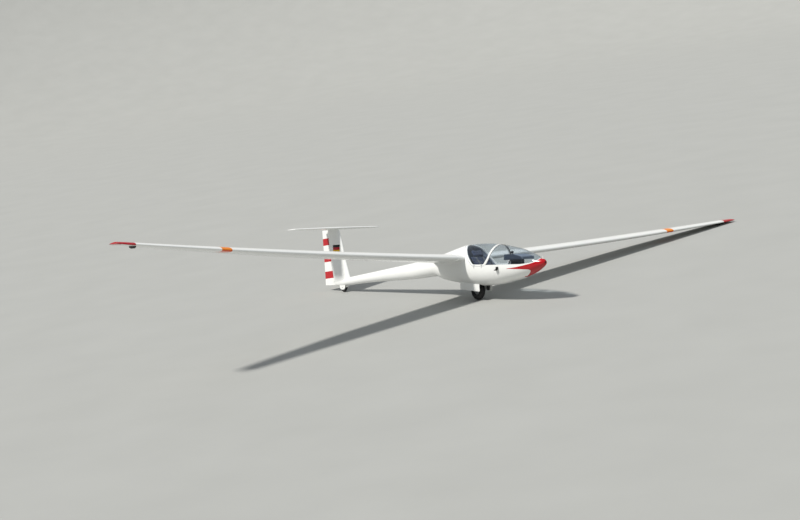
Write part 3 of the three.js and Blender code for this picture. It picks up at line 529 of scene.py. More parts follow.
# Paint and materials
def linear(hexes):
    """An sRGB colour in hex as a linear one."""
    parts = [int(hexes[i:i + 2], 16) / 255 for i in (0, 2, 4)]
    return (*(c / 12.92 if c <= 0.04045 else ((c + 0.055) / 1.055) ** 2.4 for c in parts), 1.0)


def add(tree, kind, inputs=(), output=0, **settings):
    """One output of a node with its settings. An input is a value, or a socket that is linked to it."""
    node = tree.nodes.new("ShaderNode" + kind)
    for name, value in settings.items():
        setattr(node, name, value)
    for key, value in dict(inputs).items():
        if isinstance(value, bpy.types.NodeSocket):
            tree.links.new(value, node.inputs[key])
        else:
            node.inputs[key].default_value = value
    return node.outputs[output] if node.outputs else None


def finish(name, make):
    """A material whose surface and bump come from make(tree), which returns the shader's socket."""
    material = bpy.data.materials.new(name)
    material.use_nodes = True
    tree = material.node_tree
    tree.nodes.clear()
    add(tree, "OutputMaterial", {"Surface": make(tree)})
    return material


def level_place(tree):
    """Object coordinates turned back to the level glider, as three sockets."""
    place = add(tree, "TexCoord", output="Object")
    level = add(tree, "Mapping", {"Vector": place, "Location": PARKED.translation,
                                  "Rotation": PARKED.to_euler()}, vector_type="TEXTURE")
    return level, add(tree, "SeparateXYZ", {0: level}).node.outputs


def upwards(tree):
    """How far the surface faces up as the level glider sees it."""
    normal = add(tree, "NewGeometry", output="Normal")
    top = PARKED.to_3x3() @ Vector((0, 0, 1))
    return add(tree, "VectorMath", {0: normal, 1: top}, operation="DOT_PRODUCT", output="Value")


def bar(tree, value, low, high):
    """1 between two edges of paint."""
    above = add(tree, "Math", {0: value, 1: low}, operation="GREATER_THAN")
    below = add(tree, "Math", {0: value, 1: high}, operation="LESS_THAN")
    return add(tree, "Math", {0: above, 1: below}, operation="MULTIPLY")


def edge_curve(tree, value, points, ends, sharp=False):
    """A painted edge as a curve, or with sharp corners: its height over the value, both within the range of
    ends."""
    (low, high), (bottom, top) = ends
    share = add(tree, "MapRange", {"Value": value, "From Min": low, "From Max": high})
    line = add(tree, "FloatCurve", {"Value": share})
    curve = line.node.mapping.curves[0]
    spots = [((x - low) / (high - low), (z - bottom) / (top - bottom)) for x, z in points]
    curve.points[0].location, curve.points[1].location = spots[0], spots[-1]
    for spot in spots[1:-1]:
        curve.points.new(*spot)
    for point in curve.points:
        point.handle_type = "VECTOR" if sharp else "AUTO_CLAMPED"
    line.node.mapping.update()
    return add(tree, "MapRange", {"Value": line, "To Min": bottom, "To Max": top})


def gelcoat(name, marks=()):
    """White gelcoat: glossy, very slightly wavy as a moulded skin is, with thin dust and painted shade on
    what faces downward, and coloured marks on it, each a hex colour and a function that gives its mask."""

    def make(tree):
        place, axes = level_place(tree)
        broad = add(tree, "TexNoise", {"Vector": place, "Scale": 1.7, "Detail": 3.0})
        fine = add(tree, "TexNoise", {"Vector": place, "Scale": 24.0, "Detail": 4.0, "Roughness": 0.6})
        # A moulded skin's faint cloudiness: within 3 % of the white.
        shade = add(tree, "MapRange", {"Value": broad, "From Min": 0.3, "From Max": 0.7, "To Min": 0.0,
                                       "To Max": 0.5})
        colour = add(tree, "Mix", {"Factor": shade, "A": linear("F3F4F2"), "B": linear("E9EBEA")},
                     data_type="RGBA", output="Result")
        for hexes, mask in marks:
            colour = add(tree, "Mix", {"Factor": mask(tree, axes), "A": colour, "B": linear(hexes)},
                         data_type="RGBA", output="Result")
        # Fine dust on what faces the floor, patchy and thin, and with it painted shade: a tan-grey that
        # darkens the underside.
        down = add(tree, "MapRange", {"Value": upwards(tree), "From Min": 0.1, "From Max": -0.9,
                                      "To Min": 0.0, "To Max": 0.16})
        # The mix named dust is painted shade of the underside as well as dust.
        dust = add(tree, "Math", {0: down, 1: fine}, operation="MULTIPLY")
        colour = add(tree, "Mix", {"Factor": dust, "A": colour, "B": linear("8C8578")}, data_type="RGBA",
                     output="Result")
        rough = add(tree, "MapRange", {"Value": fine, "To Min": 0.12, "To Max": 0.3})
        wave = add(tree, "Bump", {"Height": broad, "Strength": 0.08, "Distance": 0.004})
        return add(tree, "BsdfPrincipled", {"Base Color": colour, "Roughness": rough, "IOR": 1.45,
                                            "Coat Weight": 0.12, "Coat Roughness": 0.06, "Normal": wave})

    return finish(name, make)


# Enamel of the marks: signal red, the orange of the upper band, and a darker, redder copy of that orange on
# its underside, which is painted shade
RED, ORANGE, ORANGE_PAINTED_SHADE = "B60016", "F28A08", "E65A1C"
BAND, TIP, RED_FROM = (5.33, 5.53), (7.15, 7.60), 1.10


def nose_mask(tree, axes):
    """The red nose: below a line that climbs to the nose, above one that drops away, and a hooked lower
    arm."""
    ends = ((1.0, 2.0), (-0.6, 0.6))
    top = edge_curve(tree, axes["X"], ((1.0, -0.26), (1.132, -0.220), (1.260, -0.208), (1.421, -0.191),
                                       (1.576, -0.166), (1.720, -0.136), (1.797, -0.106), (1.834, -0.066),
                                       (1.852, 0.1), (2.0, 0.5)), ends)
    low = edge_curve(tree, axes["X"], ((1.0, -0.21), (1.131, -0.223), (1.255, -0.228), (1.409, -0.238),
                                       (1.535, -0.247), (1.604, -0.251), (1.624, -0.255), (1.636, -0.263),
                                       (1.641, -0.275), (1.650, -0.60), (2.0, -0.6)), ends, sharp=True)
    arm = edge_curve(tree, axes["X"], ((1.0, -0.6), (1.36, -0.58), (1.400, -0.389), (1.478, -0.366),
                                       (1.580, -0.320), (1.620, -0.295), (1.635, -0.283), (1.641, -0.271),
                                       (1.655, 0.3), (2.0, 0.5)), ends)
    under = add(tree, "Math", {0: axes["Z"], 1: top}, operation="LESS_THAN")
    over = add(tree, "Math", {0: axes["Z"], 1: low}, operation="GREATER_THAN")
    hook = add(tree, "Math", {0: axes["Z"], 1: arm}, operation="LESS_THAN")
    either = add(tree, "Math", {0: over, 1: hook}, operation="MAXIMUM")
    ahead = add(tree, "Math", {0: axes["X"], 1: RED_FROM}, operation="GREATER_THAN")
    both = add(tree, "Math", {0: under, 1: either}, operation="MULTIPLY")
    return add(tree, "Math", {0: both, 1: ahead}, operation="MULTIPLY")


def wing_sides(tree, axes, back):
    """The distance out, 1 on what faces up, and 1 as far back as a share of the chord."""
    out = add(tree, "Math", {0: axes["Y"]}, operation="ABSOLUTE")
    chord = add(tree, "MapRange", {"Value": out, "From Min": 4.3, "From Max": 7.5, "To Min": 0.75,
                                   "To Max": 0.37})
    limit = add(tree, "Math", {0: chord, 1: -back, 2: -0.12}, operation="MULTIPLY_ADD")
    front = add(tree, "Math", {0: axes["X"], 1: limit}, operation="GREATER_THAN")
    top = add(tree, "Math", {0: upwards(tree), 1: 0.0}, operation="GREATER_THAN")
    return out, top, front


def band_over(tree, axes):
    out, top, _ = wing_sides(tree, axes, 0.5)
    return add(tree, "Math", {0: bar(tree, out, *BAND), 1: top}, operation="MULTIPLY")


def band_under_painted_shade(tree, axes):
    """The band's underside, which runs half the chord back; it takes the orange's painted shade."""
    out, _, front = wing_sides(tree, axes, 0.5)
    return add(tree, "Math", {0: bar(tree, out, *BAND), 1: front}, operation="MULTIPLY")


def tip_mask(tree, axes):
    """The red tip: its upper side and leading edge, and the whole of its end."""
    out, top, front = wing_sides(tree, axes, 0.12)
    side = add(tree, "Math", {0: top, 1: front}, operation="MAXIMUM")
    patch = add(tree, "Math", {0: bar(tree, out, *TIP), 1: side}, operation="MULTIPLY")
    return add(tree, "Math", {0: patch, 1: bar(tree, out, 7.40, TIP[1])}, operation="MAXIMUM")


def rudder_mask(tree, axes):
    # The bars climb a little towards the hinge
    height = add(tree, "Math", {0: axes["X"], 1: -0.05, 2: -0.2475}, operation="MULTIPLY_ADD")
    height = add(tree, "Math", {0: axes["Z"], 1: height}, operation="ADD")
    bars = [bar(tree, height, low, high)
            for low, high in ((0.451, 0.599), (0.097, 0.247), (-0.257, -0.105))]
    two = add(tree, "Math", {0: bars[0], 1: bars[1]}, operation="ADD")
    return add(tree, "Math", {0: two, 1: bars[2]}, operation="ADD")


def patch_mask(low, high):
    def mask(tree, axes):
        stripe, span = bar(tree, axes["Z"], low, high), bar(tree, axes["X"], -4.68, -4.44)
        return add(tree, "Math", {0: stripe, 1: span}, operation="MULTIPLY")
    return mask


FUSELAGE_PAINT = gelcoat("fuselage gelcoat, red nose", [(RED, nose_mask)])
# The band's underside takes a darker, redder orange as painted shade.
WING_PAINT = gelcoat("wing gelcoat, orange band and red tip",
                     [(ORANGE_PAINTED_SHADE, band_under_painted_shade), (ORANGE, band_over), (RED, tip_mask)])
RUDDER_PAINT = gelcoat("rudder gelcoat, red bars", [(RED, rudder_mask)])
FIN_PAINT = gelcoat("fin gelcoat, striped patch",
                    [("1B1A1C", patch_mask(0.396, 0.450)), ("B3122A", patch_mask(0.341, 0.396)),
                     ("E9B91C", patch_mask(0.287, 0.341))])
PLAIN_PAINT = gelcoat("plain gelcoat")


def lining(tree):
    """Blue-grey flocked paint of the cockpit's inside: matt, with a fine speckle drawn at 3 mm."""
    place = add(tree, "TexCoord", output="Object")
    speck = add(tree, "TexNoise", {"Vector": place, "Scale": 320.0, "Detail": 2.0})
    stain = add(tree, "TexNoise", {"Vector": place, "Scale": 6.0, "Detail": 3.0})
    mixed = add(tree, "Math", {0: speck, 1: stain}, operation="MULTIPLY")
    colour = add(tree, "Mix", {"Factor": mixed, "A": linear("6F7889"), "B": linear("939CAA")},
                 data_type="RGBA", output="Result")
    bump = add(tree, "Bump", {"Height": speck, "Strength": 0.25, "Distance": 0.0006})
    return add(tree, "BsdfPrincipled", {"Base Color": colour, "Roughness": 0.85, "Normal": bump})


LINING = finish("cockpit flock lining", lining)


def plastic(name, hexes, rough=0.5, dusty="6E6B66"):
    """Moulded plastic or satin paint: a fine pimpled skin drawn at 2 mm, with a little dust."""
    def make(tree):
        place = add(tree, "TexCoord", output="Object")
        skin_grain = add(tree, "TexVoronoi", {"Vector": place, "Scale": 500.0})
        dust = add(tree, "TexNoise", {"Vector": place, "Scale": 30.0, "Detail": 4.0})
        share = add(tree, "MapRange", {"Value": dust, "From Min": 0.5, "From Max": 0.85, "To Min": 0.0,
                                       "To Max": 0.18})
        colour = add(tree, "Mix", {"Factor": share, "A": linear(hexes), "B": linear(dusty)},
                     data_type="RGBA", output="Result")
        bump = add(tree, "Bump", {"Height": skin_grain, "Strength": 0.12, "Distance": 0.0004})
        roughness = add(tree, "MapRange", {"Value": dust, "To Min": rough - 0.06, "To Max": rough + 0.1})
        return add(tree, "BsdfPrincipled", {"Base Color": colour, "Roughness": roughness, "Normal": bump})
    return finish(name, make)


BLACK = plastic("satin black plastic", "17181A", 0.45)


def acrylic(tree):
    """Clear canopy acrylic with a faint blue tint: a thin glossy sheet that lets the light through."""
    place = add(tree, "TexCoord", output="Object")
    smear = add(tree, "TexNoise", {"Vector": place, "Scale": 9.0, "Detail": 4.0})
    rough = add(tree, "MapRange", {"Value": smear, "To Min": 0.0, "To Max": 0.05})
    clear = add(tree, "BsdfTransparent", {"Color": linear("F5F8FA")})
    gloss = add(tree, "BsdfGlossy", {"Color": (1, 1, 1, 1), "Roughness": rough})
    # Reflection by the slope of the sheet alone: both faces of the thin sheet mirror alike, from 3 %
    # head-on
    facing = add(tree, "LayerWeight", {"Blend": 0.5}, output="Facing")
    steep = add(tree, "Math", {0: facing, 1: 5.0}, operation="POWER")
    mirror = add(tree, "Math", {0: steep, 1: 0.9, 2: 0.03}, operation="MULTIPLY_ADD")
    return add(tree, "MixShader", {0: mirror, 1: clear, 2: gloss})


ACRYLIC = finish("canopy acrylic", acrylic)


# Fuselage: one moulded shell from the tail to the nose, with its cockpit, wheel well and air inlet
def tail_cuts():
    foot, head = RUDDER_HINGE
    return hinge_frame(foot, head), (head - foot).length


def fin_radius(z):
    lead, trail, t = row(FIN, z)
    return thickness(t, (lead - hinge_at(z).x) / (lead - trail)) * (lead - trail)


def hinge_at(z):
    foot, head = RUDDER_HINGE
    return foot.lerp(head, (z - foot.z) / (head.z - foot.z))


RUDDER_RADII = enclosing_radii(*RUDDER_HINGE, (-0.400, 0.800), hinge_at, fin_radius)
WELL_X, WELL_HALF, WELL_ROOF, WELL_WALL = (-0.346, 0.222), 0.148, -0.300, 0.006
MAIN_WHEEL = {"x": -0.005, "z": -0.614, "ring": 0.115, "tube": 0.060, "rim": 0.066}
TAIL_WHEEL = {"x": -4.398, "z": -0.456, "ring": 0.075, "tube": 0.025, "rim": 0.056}
INLET_Z, INLET_RADIUS = -0.137, 0.015
CANOPY_LUG = {"y": -0.310, "z": -0.125, "at": (0.255, 0.470), "wide": 0.012, "outer": 0.007, "pin": 0.003,
              "gap": 0.003, "foot": -0.175, "reach": -0.288}


def lug_brackets():
    """Brackets of the canopy's hinges on the right sill."""
    y, z, wide, outer, reach = (CANOPY_LUG[key] for key in ("y", "z", "wide", "outer", "reach"))
    hole = CANOPY_LUG["pin"] + PIN_CLEAR
    return [worked(rod((x, y, z), (x + wide, y, z), outer),
                   (JOIN, box((x, x + wide), (y - outer, reach), (CANOPY_LUG["foot"], z))),
                   (CUT, rod((x - 0.005, y, z), (x + wide + 0.005, y, z), hole)))
            for x in CANOPY_LUG["at"]]


def lug_arms():
    """Arms of the canopy's hinges on its frame, in pairs, with the pin that runs through the bracket
    between them."""
    y, z, wide, outer, gap = (CANOPY_LUG[key] for key in ("y", "z", "wide", "outer", "gap"))
    arms = []
    for x in CANOPY_LUG["at"]:
        for start in (x - wide - gap, x + wide + gap):
            arms.append(worked(rod((start, y, z), (start + wide, y, z), outer),
                               (JOIN, box((start, start + wide), (y, CANOPY_LUG["reach"] - 0.002),
                                          (z - outer, z + outer)))))
        arms.append(rod((x - wide - 0.002, y, z), (x + 2 * wide + 0.002, y, z), CANOPY_LUG["pin"]))
    return arms


def fuselage():
    place, length = tail_cuts()
    behind = set_in(place, box((-0.2, length), (-1.5, 0), (-0.3, 0.3)))
    cove = set_in(place, rod((-0.06, 0, 0), (length, 0, 0), RUDDER_RADII[0] + CLEAR,
                             RUDDER_RADII[1] + CLEAR, 48))
    well = box(WELL_X, (-WELL_HALF, WELL_HALF), (-0.7, WELL_ROOF))
    slot = box((TAIL_WHEEL["x"] - 0.112, TAIL_WHEEL["x"] + 0.112), (-0.040, 0.040), (-0.6, -0.345))
    inlet = rod((1.80, 0, INLET_Z), (1.94, 0, INLET_Z), INLET_RADIUS, sides=32)
    shell = worked(hull(-4.79, NOSE), (CUT, behind), (CUT, cove),
                   (CUT, hull(*CABIN, WALL)), (CUT, canopy_region((-0.6, 1.9), 0)),
                   (CUT, well), (CUT, slot), (CUT, inlet))
    repaint(shell, 1, lambda co: CABIN[0] - 0.001 < co.x < CABIN[1] + 0.001 and hull_share(co) < INNER)
    # Lug of the rudder's lowest hinge, on the end of the boom
    at, lug, thick, reach = 0.060, 0.011, 0.008, 0.060
    tail_lug = worked(box((at - thick / 2, at + thick / 2), (0, reach), (-lug, lug)),
                      (JOIN, rod((at - thick / 2, 0, 0), (at + thick / 2, 0, 0), lug)),
                      (CUT, rod((at - thick, 0, 0), (at + thick, 0, 0), 0.005 + PIN_CLEAR, sides=16)))
    piece("fuselage_shell", merged(shell, set_in(place, tail_lug), *lug_brackets()),
          [FUSELAGE_PAINT, LINING],
          stands_for=("fuselage_centre", "fuselage_tub", "fuselage_front", "fuselage_nose", "tail_boom"))


fuselage()


# Canopy
def canopy():
    def rear(inset):
        return worked(canopy_region((-0.6, 1.0), -inset), (KEEP, behind_arch(-inset)))

    wall, pane = skin(FRAME_DEPTH), skin(PANE)
    frame_shell = worked(wall.copy(), (KEEP, rear(CLEAR)), (CUT, rear(CLEAR + CANOPY_RAIL)))
    piece("canopy_frame_shell", merged(frame_shell, *lug_arms()), [PLAIN_PAINT, LINING], "canopy",
          "canopy_frame")
    glass = worked(pane.copy(), (KEEP, rear(CLEAR + CANOPY_RAIL + TOUCH)))
    piece("canopy_pane", glass, ACRYLIC, "canopy", "canopy_glass")
    fixed = worked(canopy_region((0.3, 1.9), -TOUCH), (CUT, behind_arch(TOUCH)))
    hoop = worked(wall, (KEEP, fixed.copy()), (KEEP, behind_arch(HOOP)))
    repaint(hoop, 1, lambda co: hull_share(co) < INNER)
    piece("windscreen_arch", hoop, [PLAIN_PAINT, BLACK], stands_for="windscreen_hoop")
    screen = worked(pane, (KEEP, fixed), (CUT, behind_arch(HOOP + TOUCH)))
    piece("windscreen_pane", screen, ACRYLIC, stands_for="windscreen_glass")


canopy()


# Wings
def wing(name, side):
    whole = worked(wing_body(side), (CUT, hull(-1.5, 0.9, -TOUCH)))
    inner, outer, hinge = side * AILERON[0], side * AILERON[1], AILERON[2]
    start, end = wing_middle(inner, hinge), wing_middle(outer, hinge)
    radii = enclosing_radii(start, end, (inner, outer), lambda y: wing_middle(y, hinge),
                            lambda y: wing_half(y, hinge))
    length = (end - start).length
    panel, aileron = split_at_hinge(whole, start, end, radii, (CLEAR, CLEAR),
                                    [length * share for share in (0.08, 0.5, 0.92)],
                                    (0.007, 0.003, 0.005, 0.042))
    start, end = (wing_point(side * y, BRAKE_AT, camber_line(BRAKE_AT) * smooth(WING, y, 1)
                             + wing_half(y, BRAKE_AT)) for y in BRAKE_SPAN)
    place = hinge_frame(start, end)
    length = (end - start).length
    if place.col[2].z < 0:
        place = place @ Matrix.Rotation(pi, 4, "Y") @ Matrix.Translation((-length, 0, 0))

    def laid(*ranges):
        return set_in(place, box(*ranges))

    blade, cap, well = BRAKE_BLADE / 2, BRAKE_CAP / 2, BRAKE_BOX / 2
    guides = [(-BRAKE_GUIDE - 0.002, 0.0001), (length - 0.0001, length + BRAKE_GUIDE + 0.002)]
    panel = worked(panel, (CUT, laid((0, length), (-well, well), (-BRAKE_DEPTH, 0.04))),
                   (CUT, laid((-CLEAR, length + CLEAR), (-cap - CLEAR, cap + CLEAR),
                              (-BRAKE_LID - CLEAR - 0.003, 0.04))),
                   *((CUT, laid(ends, (-blade - PIN_CLEAR, blade + PIN_CLEAR), (-BRAKE_DEPTH, 0.04)))
                     for ends in guides))
    cover = worked(whole.copy(), (KEEP, laid((0, length), (-cap, cap), (-BRAKE_LID - 0.003, 0.04))))
    brake = worked(cover, (JOIN, laid((CLEAR, length - CLEAR), (-blade, blade), (-BRAKE_HEIGHT, -0.002))),
                   (JOIN, laid((-BRAKE_GUIDE, length + BRAKE_GUIDE), (-blade, blade),
                               (-BRAKE_HEIGHT, -BRAKE_LID - CLEAR - 0.006))))
    whole.free()
    piece(f"wing_shell_{name}", panel, WING_PAINT, stands_for=f"wing_{name}")
    piece(f"aileron_shell_{name}", aileron, WING_PAINT, f"{name}_aileron", f"aileron_{name}")
    piece(f"airbrake_blade_{name}", brake, WING_PAINT, f"{name}_airbrake", f"airbrake_{name}")


for side_name, side_sign in SIDES:
    wing(side_name, side_sign)


# Tail
def fin_body(foot, head):
    rings = []
    for z in between(foot, head, 26):
        lead, trail, t = row(FIN, z)
        rings.append([Vector((lead + (trail - lead) * at, out * (lead - trail), z))
                      for at, out in section(t, False)])
    return loft(rings)


def tailplane_body(grow=0.0):
    reach = TAILPLANE[-1][0]
    outs = between(0, 1.04, 26)[1:] + [1.06, 1.075, 1.085, 1.091, 1.094]
    rings = []
    for y in [-out for out in outs[::-1]] + [0.0] + outs:
        lead, trail, thick = row(TAILPLANE, abs(y))
        chord = lead - trail + 2 * grow
        rings.append([Vector((lead + grow - chord * at, y * (1 + grow / reach), TAILPLANE_Z + up * chord))
                      for at, up in section((thick + 2 * grow) / chord, False)])
    return loft(rings)


def tail():
    whole = fin_body(RUDDER_FOOT, RUDDER_TOP)
    length = (RUDDER_HINGE[1] - RUDDER_HINGE[0]).length
    fitting = (0.011, 0.005, 0.008, 0.060)
    fixed, rudder = split_at_hinge(whole, *RUDDER_HINGE, RUDDER_RADII, (-0.06, -0.06),
                                   [0.060, 0.4 * length, 0.93 * length], fitting, fin_body(-0.400, 0.830))
    fin = worked(fixed, (CUT, tailplane_body(TOUCH)),
                 (CUT, box((-5.3, -4.0), (-0.2, 0.2), (TAILPLANE_Z, 0.95))),
                 (CUT, hull(-4.79, -3.5, -TOUCH)),
                 (CUT, box((-4.9, -4.0), (-0.2, 0.2), (-0.5, FIN_FOOT - 0.050))))
    piece("fin_shell", fin, FIN_PAINT, stands_for="fin")
    piece("rudder_shell", rudder, RUDDER_PAINT, "rudder_body", "rudder")
    whole.free()
    whole = tailplane_body()

    def half_thick(y):
        lead, trail, thick = row(TAILPLANE, abs(y))
        chord = lead - trail
        return thickness(thick / chord, (lead - ELEVATOR_X) / chord) * chord

    def at(y):
        return Vector((ELEVATOR_X, y, TAILPLANE_Z))

    plane = worked(whole.copy(),
                   (CUT, box((-5.2, -4.86), (-TAILPLANE_MIDDLE, TAILPLANE_MIDDLE), (0.7, 0.9))))
    halves = []
    reach = TAILPLANE[-1][0] - 0.030
    for _, side in SIDES:
        start, end = at(side * ELEVATOR_ROOT), at(side * reach)
        radii = enclosing_radii(start, end, (ELEVATOR_ROOT, reach), lambda y: at(side * y), half_thick)
        spots = [share * (reach - ELEVATOR_ROOT) for share in (0.45, 0.93)]
        plane, half = split_at_hinge(whole, start, end, radii, (0, 0), spots, (0.006, 0.003, 0.005, 0.030),
                                     plane)
        halves.append(half)
    bar_at = ELEVATOR_ROOT + 0.004
    plane = worked(plane, (CUT, rod(at(-bar_at), at(bar_at), TORQUE_ROD + PIN_CLEAR)))
    elevator = worked(merged(*halves), (JOIN, rod(at(-bar_at), at(bar_at), TORQUE_ROD)))
    whole.free()
    piece("tailplane_shell", plane, PLAIN_PAINT, stands_for="tailplane")
    piece("elevator_shell", elevator, PLAIN_PAINT, "elevator_body", "elevator")


tail()


# Wheels and landing gear
def rubber(tree):
    """Worn black rubber: matt, greyed by dust in broad patches, with a fine grain drawn at 2 mm."""
    place = add(tree, "TexCoord", output="Object")
    dust = add(tree, "TexNoise", {"Vector": place, "Scale": 14.0, "Detail": 4.0})
    grain = add(tree, "TexNoise", {"Vector": place, "Scale": 480.0, "Detail": 2.0})
    share = add(tree, "MapRange", {"Value": dust, "From Min": 0.45, "From Max": 0.75, "To Min": 0.0,
                                   "To Max": 0.35})
    colour = add(tree, "Mix", {"Factor": share, "A": linear("1C1C1E"), "B": linear("5A5550")},
                 data_type="RGBA", output="Result")
    bump = add(tree, "Bump", {"Height": grain, "Strength": 0.3, "Distance": 0.0008})
    return add(tree, "BsdfPrincipled", {"Base Color": colour, "Roughness": 0.82, "Normal": bump})


def metal(name, hexes, rough):
    """Bare or plated metal: brushed in fine lines, darker where grease has crept."""
    def make(tree):
        place = add(tree, "TexCoord", output="Object")
        film = add(tree, "TexNoise", {"Vector": place, "Scale": 22.0, "Detail": 4.0})
        stretch = add(tree, "Mapping", {"Vector": place, "Scale": (30.0, 30.0, 900.0)})
        brush = add(tree, "TexNoise", {"Vector": stretch, "Scale": 1.0, "Detail": 2.0})
        share = add(tree, "MapRange", {"Value": film, "From Min": 0.5, "From Max": 0.8, "To Min": 0.0,
                                       "To Max": 0.5})
        colour = add(tree, "Mix", {"Factor": share, "A": linear(hexes), "B": linear("4A4640")},
                     data_type="RGBA", output="Result")
        roughness = add(tree, "MapRange", {"Value": brush, "To Min": rough - 0.08, "To Max": rough + 0.12})
        return add(tree, "BsdfPrincipled", {"Base Color": colour, "Metallic": 1.0, "Roughness": roughness})
    return finish(name, make)


RUBBER = finish("tyre rubber", rubber)
STEEL = metal("zinc-plated steel", "B9BCBE", 0.34)
ALLOY = metal("cast wheel alloy", "C9CBCC", 0.42)
BLACK_STEEL = metal("blackened steel", "3B3A3A", 0.5)
GREY_PAINT = plastic("light grey wheel-bay paint", "B5B8BA", 0.5)
NAVY = plastic("dark navy panel paint", "232F42", 0.55, "5A6472")
BLUE_KNOB, YELLOW_KNOB, GREEN_KNOB, RED_KNOB = (
    plastic(f"{colour} knob plastic", hexes, 0.35) for colour, hexes in (
        ("blue", "1B4FA8"), ("yellow", "E3B516"), ("green", "2E8B4A"), ("red", "B5202A")))


def tyre_profile(wheel, grooves, wide, depth):
    """The section of a ribbed tyre, from one bead round the tread to the other and back across the rim."""
    ring, tube_radius, rim = wheel["ring"], wheel["tube"], wheel["rim"]
    inner = acos((rim - ring) / tube_radius)
    marks = [groove + shift for groove in grooves for shift in (-wide * 1.3, -wide, wide, wide * 1.3)]
    profile = []
    for angle in sorted(between(-inner, inner, 56) + marks):
        groove = any(abs(angle - at) < wide * 1.1 for at in grooves)
        # The moulded rib that runs round the sidewall, and the flatter crown of the tread
        rib = 0.0012 if 1.28 < abs(angle) < 1.36 else 0.0
        crown = 1 - 0.02 * cos(angle * 2) if abs(angle) < 0.78 else 1.0
        out = min(tube_radius * crown, tube_radius) - (depth if groove else 0) + rib * 0.8 - 0.001
        profile.append((ring + out * cos(angle), out * sin(angle)))
    return profile


def hub_body(wheel, bore, bolts, bolt_size):
    rim = wheel["rim"] - TOUCH
    wide = sqrt(wheel["tube"] ** 2 - (wheel["rim"] - wheel["ring"]) ** 2)
    half = [(bore, wide * 0.9), (bore * 1.9, wide * 0.9), (bore * 2.1, wide * 0.84),
            (bore * 2.2, wide * 0.34), (rim * 0.78, wide * 0.28), (rim * 0.84, wide * 0.5),
            (rim * 0.87, wide * 0.94), (rim * 0.9, wide), (rim, wide)]
    profile = [(radius, -y) for radius, y in half] + [(radius, y) for radius, y in half[::-1]]
    x, z = wheel["x"], wheel["z"]
    whole = turned(profile, x, z, 72)
    circle = (rim * 0.78 + bore * 2.2) / 2
    turns = [2 * pi * i / bolts for i in range(bolts)]
    windows = merged(*(rod((x + circle * cos(t), -wide, z + circle * sin(t)),
                           (x + circle * cos(t), wide, z + circle * sin(t)), circle * 0.26) for t in turns))
    whole = worked(whole, (CUT, windows))
    heads = [bolt((x + circle * cos(t + 0.5), side * wide * 0.32, z + circle * sin(t + 0.5)), (0, side, 0),
                  bolt_size) for t in turns for side in (-1, 1)]
    return merged(whole, *heads)


def wheels():
    main = turned(tyre_profile(MAIN_WHEEL, (-0.52, -0.18, 0.18, 0.52), 0.026, 0.0035),
                  MAIN_WHEEL["x"], MAIN_WHEEL["z"], 128)
    piece("main_tyre_rubber", main, RUBBER, "main_wheel", "main_tyre")
    piece("main_hub_alloy", hub_body(MAIN_WHEEL, 0.013, 6, 0.0045), ALLOY, "main_wheel", "main_hub")
    small = turned(tyre_profile(TAIL_WHEEL, (-0.3, 0.3), 0.05, 0.002), TAIL_WHEEL["x"], TAIL_WHEEL["z"], 96)
    piece("tail_tyre_rubber", small, RUBBER, "tail_wheel", "tail_tyre")
    piece("tail_hub_alloy", hub_body(TAIL_WHEEL, 0.0085, 5, 0.0028), ALLOY, "tail_wheel", "tail_hub")


wheels()


def round_outline(corners, radius, steps=5):
    """A side-view outline with its corners rounded."""
    points = [Vector(corner) for corner in corners]
    run = []
    for i, corner in enumerate(points):
        before, after = (points[i - 1] - corner), (points[(i + 1) % len(points)] - corner)
        reach = min(radius, before.length / 2.2, after.length / 2.2)
        start, end = corner + before.normalized() * reach, corner + after.normalized() * reach
        run += [start.lerp(corner, t).lerp(corner.lerp(end, t), t) for t in between(0, 1, steps)]
    return [tuple(point) for point in run]


def landing_gear():
    x, z = MAIN_WHEEL["x"], MAIN_WHEEL["z"]
    pivot = Vector((-0.060, -0.352))
    foot = Vector((x, z))
    parts = []
    for _, side in SIDES:
        ys = sorted((side * 0.070, side * 0.078))
        outline = [(x - 0.026, z), (x + 0.026, z), (pivot.x + 0.034, pivot.y), (pivot.x - 0.034, pivot.y)]
        plate = worked(slab(outline, ys), (JOIN, rod((x, ys[0], z), (x, ys[1], z), 0.026, sides=40)),
                       (JOIN, rod((pivot.x, ys[0], pivot.y), (pivot.x, ys[1], pivot.y), 0.034, sides=40)),
                       (CUT, rod((x, -0.1, z), (x, 0.1, z), 0.0128, sides=32)))
        for share in (0.36, 0.56, 0.76):
            hole = foot.lerp(pivot, share)
            plate = worked(plate, (CUT, rod((hole.x, -0.1, hole.y), (hole.x, 0.1, hole.y),
                                            0.010 + 0.005 * share)))
        parts.append(softened(plate, 0.0012))
        # Gas spring and drag stay from the leg to the wheel bay
        mid = foot.lerp(pivot, 0.42)
        parts.append(pole([(0, 0), (0, 0.011), (0.10, 0.011), (0.102, 0.006), (0.150, 0.006), (0.150, 0)],
                          (mid.x - 0.030, side * 0.088, mid.y), (-0.245, side * 0.088, -0.345)))
        parts.append(rod((mid.x - 0.030, side * 0.078, mid.y), (mid.x - 0.030, side * 0.097, mid.y), 0.006))
        parts.append(bolt((mid.x - 0.030, side * 0.098, mid.y), (0, side, 0), 0.006))
        parts.append(bolt((pivot.x, side * 0.0785, pivot.y), (0, side, 0), 0.013))
    bar_half = WELL_HALF - TOUCH
    parts.append(rod((pivot.x, -bar_half, pivot.y), (pivot.x, bar_half, pivot.y), 0.016, sides=32))
    parts.append(tube(curved([(-0.03, 0.072, -0.50), (0.01, 0.086, -0.47), (0.03, 0.090, -0.40),
                              (0.0, 0.080, -0.3005)]), 0.004))
    piece("gear_leg_plates", merged(*parts), STEEL, stands_for="gear_legs")
    axle = merged(rod((x, -0.086, z), (x, 0.086, z), 0.0125, sides=32),
                  *(bolt((x, side * 0.0795, z), (0, side, 0), 0.0125) for _, side in SIDES))
    piece("main_axle_bar", axle, STEEL, stands_for="main_axle")


landing_gear()

DOOR = ((-0.345, -0.420), (0.220, -0.420), (0.220, -0.630), (-0.345, -0.575))


